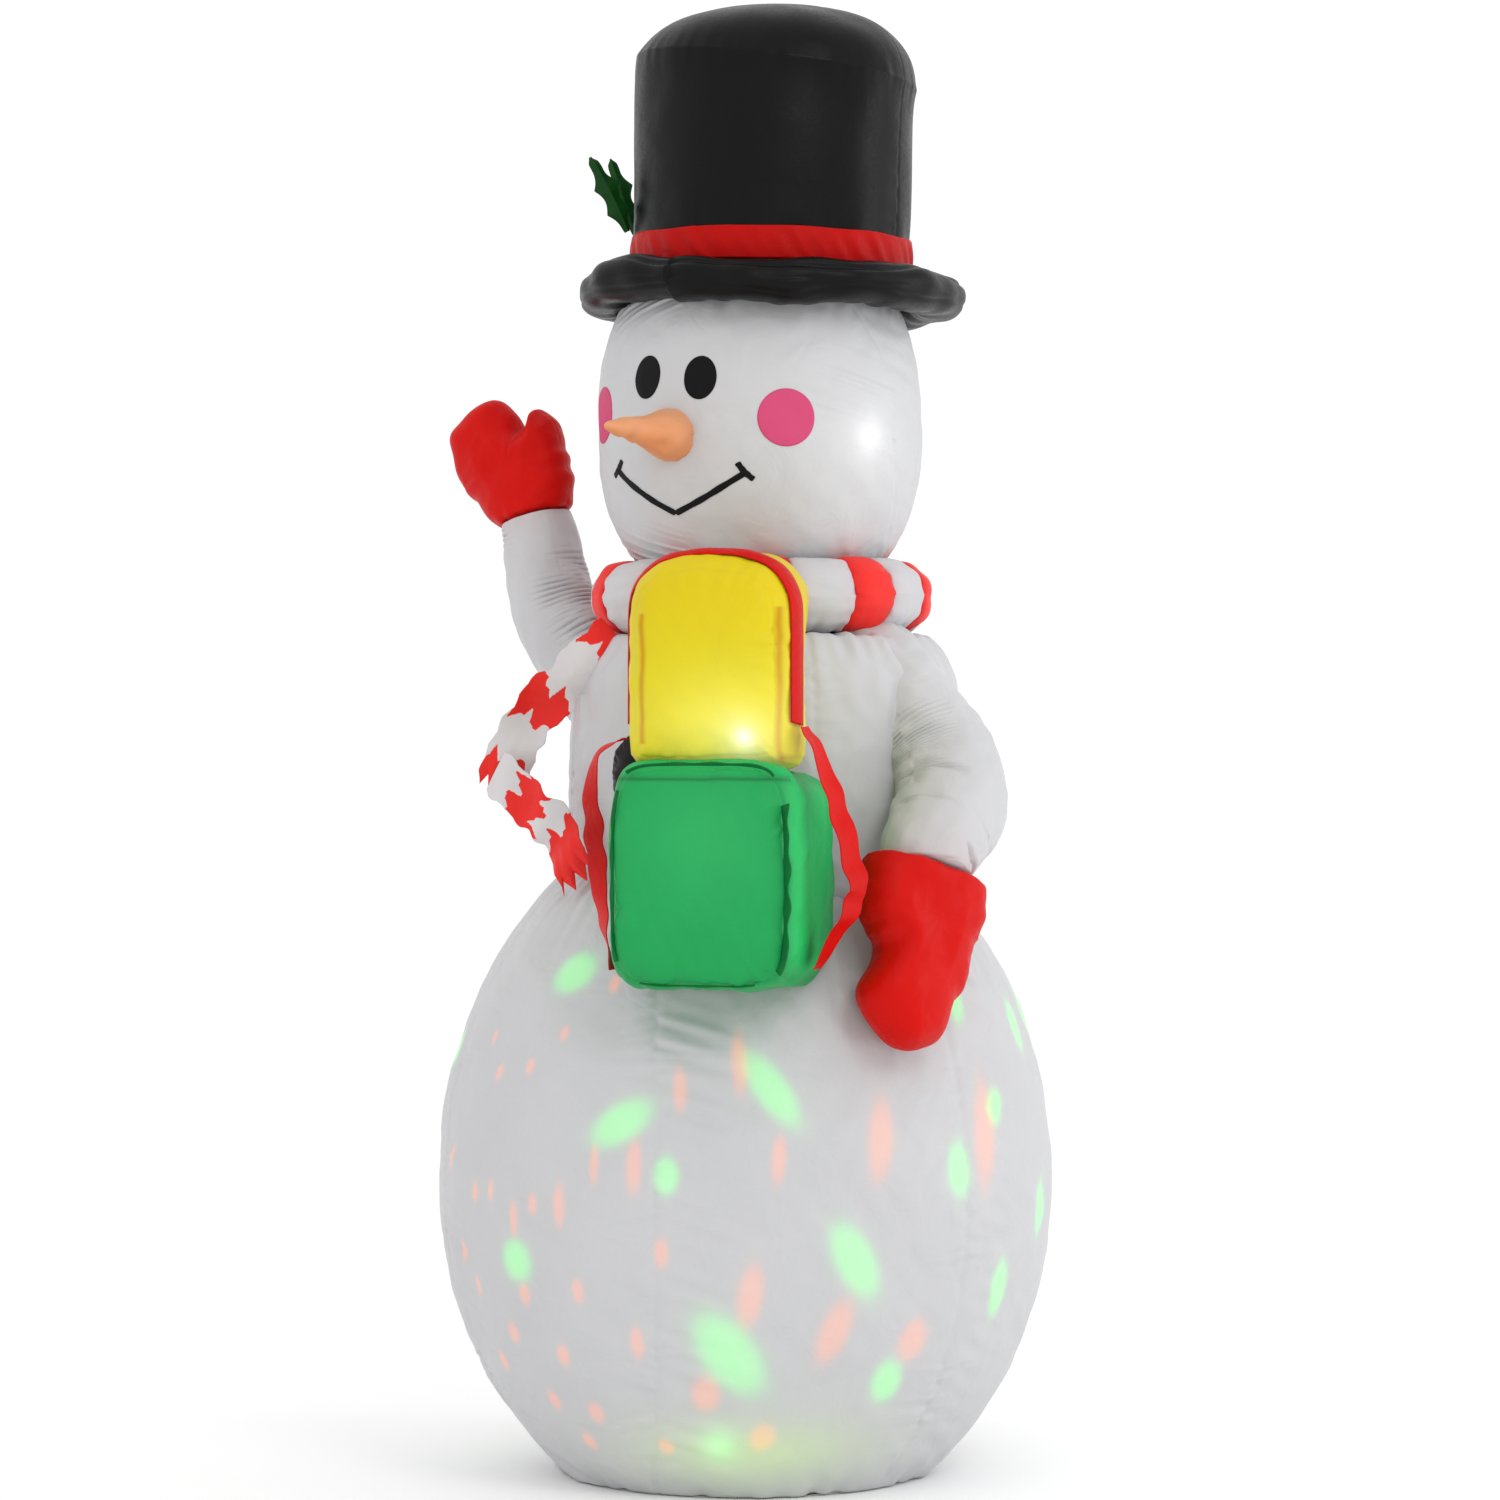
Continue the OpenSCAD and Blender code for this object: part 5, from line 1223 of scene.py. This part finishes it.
def green_outline():
    a = around(420)
    power = 2 / 6.5
    x = np.sign(np.cos(a)) * np.abs(np.cos(a)) ** power
    z = np.sign(np.sin(a)) * np.abs(np.sin(a)) ** power
    waist = 1 - 0.030 * np.abs(z) ** 2.5
    return even_ring(np.c_[0.117 * x * waist, 0.7465 + 0.128 * z * (1 - 0.02 * np.abs(x) ** 3)], 420)


def even_ring(q, count):
    q = np.vstack([q, q[:1]])
    s = np.r_[0, np.cumsum(np.linalg.norm(np.diff(q, axis=0), axis=1))]
    t = np.linspace(0, s[-1], count, endpoint=False)
    return np.stack([np.interp(t, s, q[:, i]) for i in range(2)], 1)


def yellow_outline():
    a = np.linspace(0, math.pi, 240)
    x = np.sign(np.cos(a)) * np.abs(np.cos(a)) ** (2 / 2.6)
    top = np.c_[0.1020 * x, 1.049 + 0.083 * np.abs(np.sin(a)) ** (2 / 2.6)]
    low = np.c_[np.r_[-0.1020, -0.101, -0.094, -0.08, 0.08, 0.094, 0.101, 0.1020],
                np.r_[0.905, 0.892, 0.882, 0.8785, 0.8785, 0.882, 0.892, 0.905]]
    return even_ring(np.vstack([top, low]), 460)


def build_green():
    p, d, k, y, x, z, edge = puffed(green_outline(), 0.7465, 0.114, 5.5, 400, bulge=0.004, pucker=0.0014,
                                       pitch=0.03, square=(1.10, 1.14))
    # upright tucks at the bottom of the front face
    d = d + 0.0016 * bell(z - 0.635, 0.03) * ripple(x, 0.03, 405)
    p = clear_of_body(p[:, ::-1] + normals(p[:, ::-1]) * d[:, ::-1, None])
    # painted shade: the front darkens towards the bottom, where it sits on the ball, and along the front edge seam
    low = np.clip((0.70 - z) / 0.12, 0, 1) * (y < 0)
    rim = bell(edge, 0.016)
    tint = np.ones((*x.shape, 3)) * (1 - 0.10 * rim[..., None]) * (1 - 0.06 * low[..., None])
    # painted light: the side face at +x and the rolled-up top are painted lighter; a painted shadow line runs under
    # the roll
    side = np.clip((x - 0.100) / 0.012, 0, 1)[..., None]
    tint = tint * (1 + 0.42 * side * np.array([1.0, 1.0, 0.9]))
    roll = (np.clip((z - 0.868) / 0.006, 0, 1) * (y < -0.03))[..., None]
    line = bell(z - 0.864, 0.0022) * (y < -0.08) * (k < 0.97)
    tint = tint * (1 + 0.30 * roll) * (1 - 0.45 * line)[..., None]
    lamp = 0.05 * bell(np.hypot(x - 0.01, z - 0.80), 0.08) * (y < 0)
    glow = lamp[..., None] * np.array([0.25, 1.0, 0.4])
    return loft("gift_green_bag", p, paint={"tint": tint[:, ::-1], "glow": glow[:, ::-1]})


finish_piece(build_green(), MAT["green"], ["gift_green"])


def build_yellow():
    p, d, k, y, x, z, _ = puffed(yellow_outline(), 1.0, 0.095, 3.4, 420, bulge=0.005, pucker=0.0010,
                                       pitch=0.03, square=(1.14, 1.0), taper=0.2)
    front = (y < 0)
    d = d + front * 0.0012 * bell(np.hypot(x / 1.2, z - 1.02) - 0.075, 0.018) * (z > 1.02) * ripple(
        np.arctan2(z - 1.0, x) * 0.09, 0.034, 425)
    flip = p[:, ::-1]
    p2 = clear_of_body(flip + normals(flip) * d[:, ::-1, None])
    upright = bell(x + 0.073, 0.0036) * (z > 0.905) * (z < 1.056)
    upright = upright + bell(x - 0.0880, 0.0036) * (z > 0.883) * (z < 1.064)
    strip = front * (upright + bell(z - 0.888, 0.003) * 0.5) * (k < 0.98)
    tint = np.ones((*x.shape, 3))
    tint = tint * (1 - strip[..., None] * (1 - np.array([0.80, 0.52, 0.05])))
    shade = np.clip((z - 0.99) / 0.09, 0, 1)
    tint = tint * (1 - shade[..., None] * np.array([0.01, 0.09, 0.6]))
    lampd = np.hypot(x - 0.050, z - 0.912)
    hot = front * (0.62 * bell(lampd, 0.011) + 0.30 * bell(lampd, 0.026))
    warm = front * (0.26 * bell(lampd, 0.07) + 0.22 * bell(np.hypot((x - 0.01) / 1.6, z - 0.925), 0.05))
    glow = hot[..., None] * np.array([0.55, 0.60, 0.85]) + warm[..., None] * np.array([0.55, 0.65, 0.22])
    return loft("gift_yellow_bag", p2, paint={"tint": tint[:, ::-1], "glow": glow[:, ::-1]})


finish_piece(build_yellow(), MAT["yellow"], ["gift_yellow"])


def edge_line(outline, centre_z, half_d, power, lift, low, high):
    """Points along the front edge of a puffed box, between two shares of its outline, and the way out of it."""
    corner = 2 ** (-1 / power)
    i = np.arange(int(low * len(outline)), int(high * len(outline))) % len(outline)
    q = outline[i]
    rise = q[:, 1] - centre_z
    x, z = q[:, 0] * corner, centre_z + rise * np.where(rise < 0, squarer(corner, 1.10), squarer(corner, 1.14))
    z = z + 0.012 * np.clip((z - 0.83) / 0.03, 0, 1)
    y = np.full(len(x), -half_d * corner)
    radial = unit(np.c_[q[:, 0], np.zeros(len(q)), q[:, 1] - centre_z])
    box = unit(np.c_[np.sign(q[:, 0]) * (np.abs(q[:, 0]) / 0.117) ** 6, np.zeros(len(q)),
                     np.sign(q[:, 1] - centre_z) * (np.abs(q[:, 1] - centre_z) / 0.128) ** 6])
    out = unit(0.75 * box + 0.25 * radial + np.array([0, -1.0, 0]))
    p = in_gifts(x, y, z)
    o = GIFT_X * out[:, 0:1] + GIFT_Y * out[:, 1:2] + UP * out[:, 2:3]
    return p + o * lift, o


# painted shade: the seam fins are painted much darker than the green cloth
for label, low, high, width in (("left_side", -0.125, 0.105, 0.0095), ("top", 0.135, 0.365, 0.0035),
                                ("right_side", 0.385, 0.615, 0.0035), ("bottom", 0.66, 0.84, 0.0020)):
    line, out = edge_line(green_outline(), 0.7465, 0.119, 5.5, 0.0003, low + 1, high + 1)
    flange(f"gift_green_seam_{label}", line, out, width, 440, "green", wave=0.3 * width,
           tint=(0.30, 0.42, 0.36), pitch=0.055)


# ------------------------------------------------------------------ ribbons
def ribbon(name, path, width, nodes, seed, tint_fn=None, wave=0.002, twist=0.0,
           at_y=-0.040, box=None):
    """A flat ribbon whose middle follows (x, z) points, its width along the gifts' depth about at_y.

    box gives the centre height, half depth and power of a puffed box that it lies on."""
    q = even(smooth_path(path, 16), 220)
    t = unit(np.gradient(q, axis=0))
    side = np.c_[-t[:, 1], t[:, 0]]
    s = np.linspace(0, 1, len(q))[:, None]
    length = float(np.sum(np.linalg.norm(np.diff(q, axis=0), axis=1)))
    v = np.linspace(-1, 1, 21)[None, :]
    lean = twist * np.sin(np.pi * s)
    out = wave * ripple(s * length + 0.004 * v, 0.05, seed) * np.sin(np.pi * np.clip(s, 0, 1)) ** 0.5 \
        + 0.0012 * v ** 2 + width / 2 * v * np.sin(lean)
    off = side[:, None, :] * out[..., None]
    x, z = q[:, None, 0] + off[..., 0], q[:, None, 1] + off[..., 1]
    y = at_y + width / 2 * v * np.cos(lean) + 0 * x
    if box:
        centre_z, half_d, power = box
        k = (1 - np.abs(y / half_d) ** power) ** (1 / power)
        x, z = x * k, centre_z + (z - centre_z) * k
    p = in_gifts(x, y, z)
    tint = np.ones((*x.shape, 3)) * (tint_fn(s)[..., None] if tint_fn else 1.0)
    obj = shell(name, p, 0.0011, {"tint": tint, "glow": np.zeros_like(tint)})
    finish_piece(obj, MAT["red"], nodes)
    return obj


def shadowed(s):
    return 0.62 + 0.38 * np.clip(np.abs(s - 0.45) * 3, 0, 1)


ribbon("ribbon_loose_left_side", [(0.1085, 0.925), (0.1135, 0.916), (0.124, 0.898), (0.146, 0.839), (0.170, 0.750),
                                  (0.166, 0.718), (0.1225, 0.644)], 0.034, ["gift_green_ribbon"], 501, wave=0.0025,
       twist=0.5)
ribbon("ribbon_loose_right_side", [(-0.1085, 0.912), (-0.1185, 0.908), (-0.143, 0.892), (-0.151, 0.850),
                                   (-0.146, 0.790), (-0.136, 0.700), (-0.1235, 0.640)], 0.034,
       ["gift_green_ribbon"], 502, tint_fn=shadowed, wave=0.002, twist=-1.0)


def over_yellow():
    q = yellow_outline()
    side = q[(q[:, 1] > 0.925)]
    start = np.argmin(np.hypot(side[:, 0] - 0.102, side[:, 1] - 0.925))
    side = np.roll(side, -start, 0)
    sideways = np.sign(side[:, 0]) * np.abs(side[:, 0] / 0.102) ** 2
    n = unit(np.c_[sideways, np.maximum((side[:, 1] - 1.049) / 0.083, 0) ** 1.6])
    return (side + n * 0.0030)[::8]


ribbon("ribbon_over_yellow", over_yellow(), 0.034, ["gift_yellow_ribbon"], 503, wave=0.0006,
       tint_fn=lambda s: np.full_like(s, 0.95), at_y=-0.041, box=(1.0, 0.095, 3.4))


# ------------------------------------------------------------------ coal button
def build_button():
    a = around(150)[None, :]
    k = np.sin(np.linspace(math.pi / 2, 0.02, 60))[:, None]
    rad = 0.0565 * k * (1 + 0.012 * ripple(a * 0.057, 0.05, 511))
    x, z = rad * np.cos(a), 0.866 + rad * np.sin(a)
    lift = 0.0015 + 0.0125 * np.clip(1 - k ** 2.6, 0, 1)
    lift = lift + 0.0009 * bell(k - 0.9, 0.1) * ripple(a * 0.057, 0.011, 512)
    lift = lift + 0.0006 * waves(np.stack([x, z, 0 * x], -1), 0.03, 513)
    az = math.radians(-4) + np.arcsin(x / TORSO_R)
    front = turned(az, TORSO_R + lift, z, TORSO_AT)
    back = turned(az, TORSO_R - 0.0030, z, TORSO_AT)
    p = np.concatenate([back[::-1], front], 0)
    return loft("coal_patch", p)


button = finish_piece(build_button(), MAT["black"], ["coal_button"])


# ------------------------------------------------------------------ blower's sleeve and strap, tabs, ballast
def about_blower(a, r, y):
    a, r, y = np.broadcast_arrays(a, r, y)
    return np.stack([r * np.sin(a), y, BLOWER_Z + r * np.cos(a)], -1)


def build_sleeve():
    a = around(260)[None, :]
    y = np.linspace(0.278, 0.3478, 70)[:, None]
    loose = np.clip((0.337 - y) / 0.02, 0, 1)
    end = np.clip((y - 0.3455) / 0.0025, 0, 1)
    fold = ripple(a * 0.062, 0.013, 521)
    outer = 0.0617 + loose * (0.0022 + 0.0016 * fold) + 0.0004 * fold * (1 - loose) + 0.0010 * end
    inner = 0.0606 + 0 * outer
    p = np.concatenate([about_blower(a, outer, y), about_blower(a, inner, y[::-1])], 0)
    return loft("sleeve_cuff", p[:, ::-1], "joined", {"tint": (1, 1, 1), "glow": DARK})


finish_piece(build_sleeve(), MAT["white"], ["blower_sleeve"])


def build_strap():
    a = around(240)[None, :]
    prof = np.array([(0.0632, 0.3372), (0.0646, 0.3371), (0.0650, 0.3376), (0.0650, 0.3454), (0.0646, 0.3459),
                     (0.0632, 0.3458)])
    q = even_ring(prof, 40)
    r, y = q[:, 0][:, None] + 0.0001 * ripple(a * 0.06, 0.004, 531), q[:, 1][:, None] + 0 * a
    return loft("sleeve_webbing", about_blower(a, r, y)[:, ::-1], "joined")


finish_piece(build_strap(), MAT["webbing"], ["sleeve_strap"])


def slab(name, outline, thick, place, material, nodes=(), body="root", bevel=0.0006, holes=()):
    """A plate cut to an outline, with softened edges; place carries (x, y, z) to the row frame."""
    loops = [list(map(tuple, outline))] + [list(map(tuple, h)) for h in holes]
    flat = [pt for loop in loops for pt in loop]
    tris = tessellate_polygon([[Vector((x, y, 0)) for x, y in loop] for loop in loops])
    n = len(flat)
    verts = [(x, y, -thick / 2) for x, y in flat] + [(x, y, thick / 2) for x, y in flat]
    faces = [list(t) for t in tris] + [[i + n for i in reversed(t)] for t in tris]
    base = 0
    for loop in loops:
        m = len(loop)
        faces += [[base + i, base + (i + 1) % m, base + (i + 1) % m + n, base + i + n] for i in range(m)]
        base += m
    obj = make(name, verts, faces)
    outward_faces(obj, flat_angle=0.02)
    b = obj.modifiers.new("soft_edge", "BEVEL")
    b.width, b.segments, b.limit_method = bevel, 2, "ANGLE"
    evaluated(obj)
    move_points(obj, place(points_of(obj)))
    return finish_piece(obj, material, nodes, body, smooth=False)


# the strap's buckle: a frame with a bar
rim = [(-0.009, -0.0055), (0.009, -0.0055), (0.009, 0.0055), (-0.009, 0.0055)]
openings = [[(-0.0065, -0.0035), (-0.0012, -0.0035), (-0.0012, 0.0035), (-0.0065, 0.0035)],
            [(0.0012, -0.0035), (0.0065, -0.0035), (0.0065, 0.0035), (0.0012, 0.0035)]]
PLASTIC = moulded("dark_abs", rgb(38, 40, 44), rough=0.5)
slab("sleeve_buckle", rim, 0.0030, lambda q: q + np.array([0, 0.3415, BLOWER_Z - 0.0670]), PLASTIC,
     holes=openings, bevel=0.0005)


def tab_place(side):
    az = math.radians(90 + side * 16)
    spin = np.array(Matrix.Rotation(az, 3, "Z"))
    slope = np.array(Matrix.Rotation(math.radians(25), 3, "Y"))
    root = np.array([0.250, 0, 0.030])
    return lambda q: (q @ slope.T + root) @ spin.T


def build_tab(side, label):
    x = np.linspace(-0.012, 0.070, 60)[:, None]
    v = np.linspace(-1, 1, 41)[None, :]
    tip = np.clip((x - 0.048) / 0.022, 0, 1)
    half = 0.022 * np.sqrt(np.clip(1 - tip ** 2, 0.01, 1))
    y = v * half
    z = 0.0003 * ripple(x * 1.0 + 0 * v, 0.012, 541) + 0.00035 * bell(np.abs(y) - 0.018, 0.0015)
    p = np.stack([x + 0 * y, y, z], -1)
    obj = shell(f"stake_tab_{label}", p, 0.0020)
    hole = loft("hole", np.array([[[0.048 + 0.0071 * math.cos(a), 0.0071 * math.sin(a), h] for a in
                around(48)] for h in (-0.01, 0.01)]))
    cut_away(obj, hole)
    move_points(obj, tab_place(side)(points_of(obj)))
    finish_piece(obj, MAT["webbing"], ["stake_tabs"], smooth=False)
    return obj


build_tab(-1, "left")
build_tab(1, "right")


def build_ballast(side, label):
    a = around(120)[None, :]
    b = np.radians(np.linspace(-89, 89, 60))[:, None]
    r = 0.049 * np.abs(np.cos(b)) ** (2 / 2.4)
    z = 0.0135 + 0.0115 * np.sign(np.sin(b)) * np.abs(np.sin(b)) ** (2 / 2.2)
    p = turned(a, r, z + 0 * a, (side * 0.128, 0.020, 0.0))
    d = 0.0012 * waves(p, 0.02, 551 + side) + 0.001 * bell(b, 0.2) * ripple(a * 0.05, 0.009, 553)
    return finish_piece(loft(f"ballast_{label}", p + normals(p) * np.minimum(d, 0.0008)[..., None]), MAT["sandbag"],
                        ["ballast_bags"])


for side, label in ((1, "left"), (-1, "right")):
    build_ballast(side, label)


# ------------------------------------------------------------------ finishes of the CAD parts that stay
def assign(node_name, material):
    me = frame["nodes"][node_name].data
    me.materials.clear()
    me.materials.append(material)


FINISH = {
    "dark_abs": PLASTIC,
    "impeller_plastic": moulded("impeller_plastic", rgb(222, 222, 218), rough=0.4),
    "cup_plastic": moulded("cup_plastic", rgb(24, 24, 26), rough=0.35),
    "lamp_plastic": moulded("lamp_plastic", rgb(228, 228, 224), rough=0.35),
    "lens_plastic": moulded("lens_plastic", rgb(240, 244, 248), rough=0.12, clear=0.85, vary=0.02),
    "circuit_board": moulded("circuit_board", rgb(26, 92, 48), rough=0.35, scale=400, grain=0.00004),
    "led_epoxy": moulded("led_epoxy", rgb(250, 246, 214), rough=0.2, clear=0.3, vary=0.03),
    "motor_steel": moulded("motor_steel", rgb(170, 172, 176), rough=0.32, metal=1.0, stretch=(1, 14, 1)),
    "shaft_steel": moulded("shaft_steel", rgb(190, 192, 196), rough=0.2, metal=1.0, stretch=(1, 14, 1)),
    "screw_steel": moulded("screw_steel", rgb(176, 178, 182), rough=0.3, metal=1.0),
    "lead_pvc": moulded("lead_pvc", rgb(24, 24, 26), rough=0.55, scale=500),
    "gland_nylon": moulded("gland_nylon", rgb(24, 24, 26), rough=0.5),
    "zip_metal": moulded("zip_metal", rgb(160, 162, 166), rough=0.3, metal=1.0),
    "brass": moulded("brass", rgb(196, 160, 84), rough=0.28, metal=1.0, vary=0.18),
    "black_webbing": MAT["webbing"],
    "zip_tape": MAT["tape"],
}
for part in frame["record"]["subparts"]:
    if part["material_slot"] in FINISH and not frame["nodes"][part["node"]].hide_render:
        assign(part["node"], FINISH[part["material_slot"]])
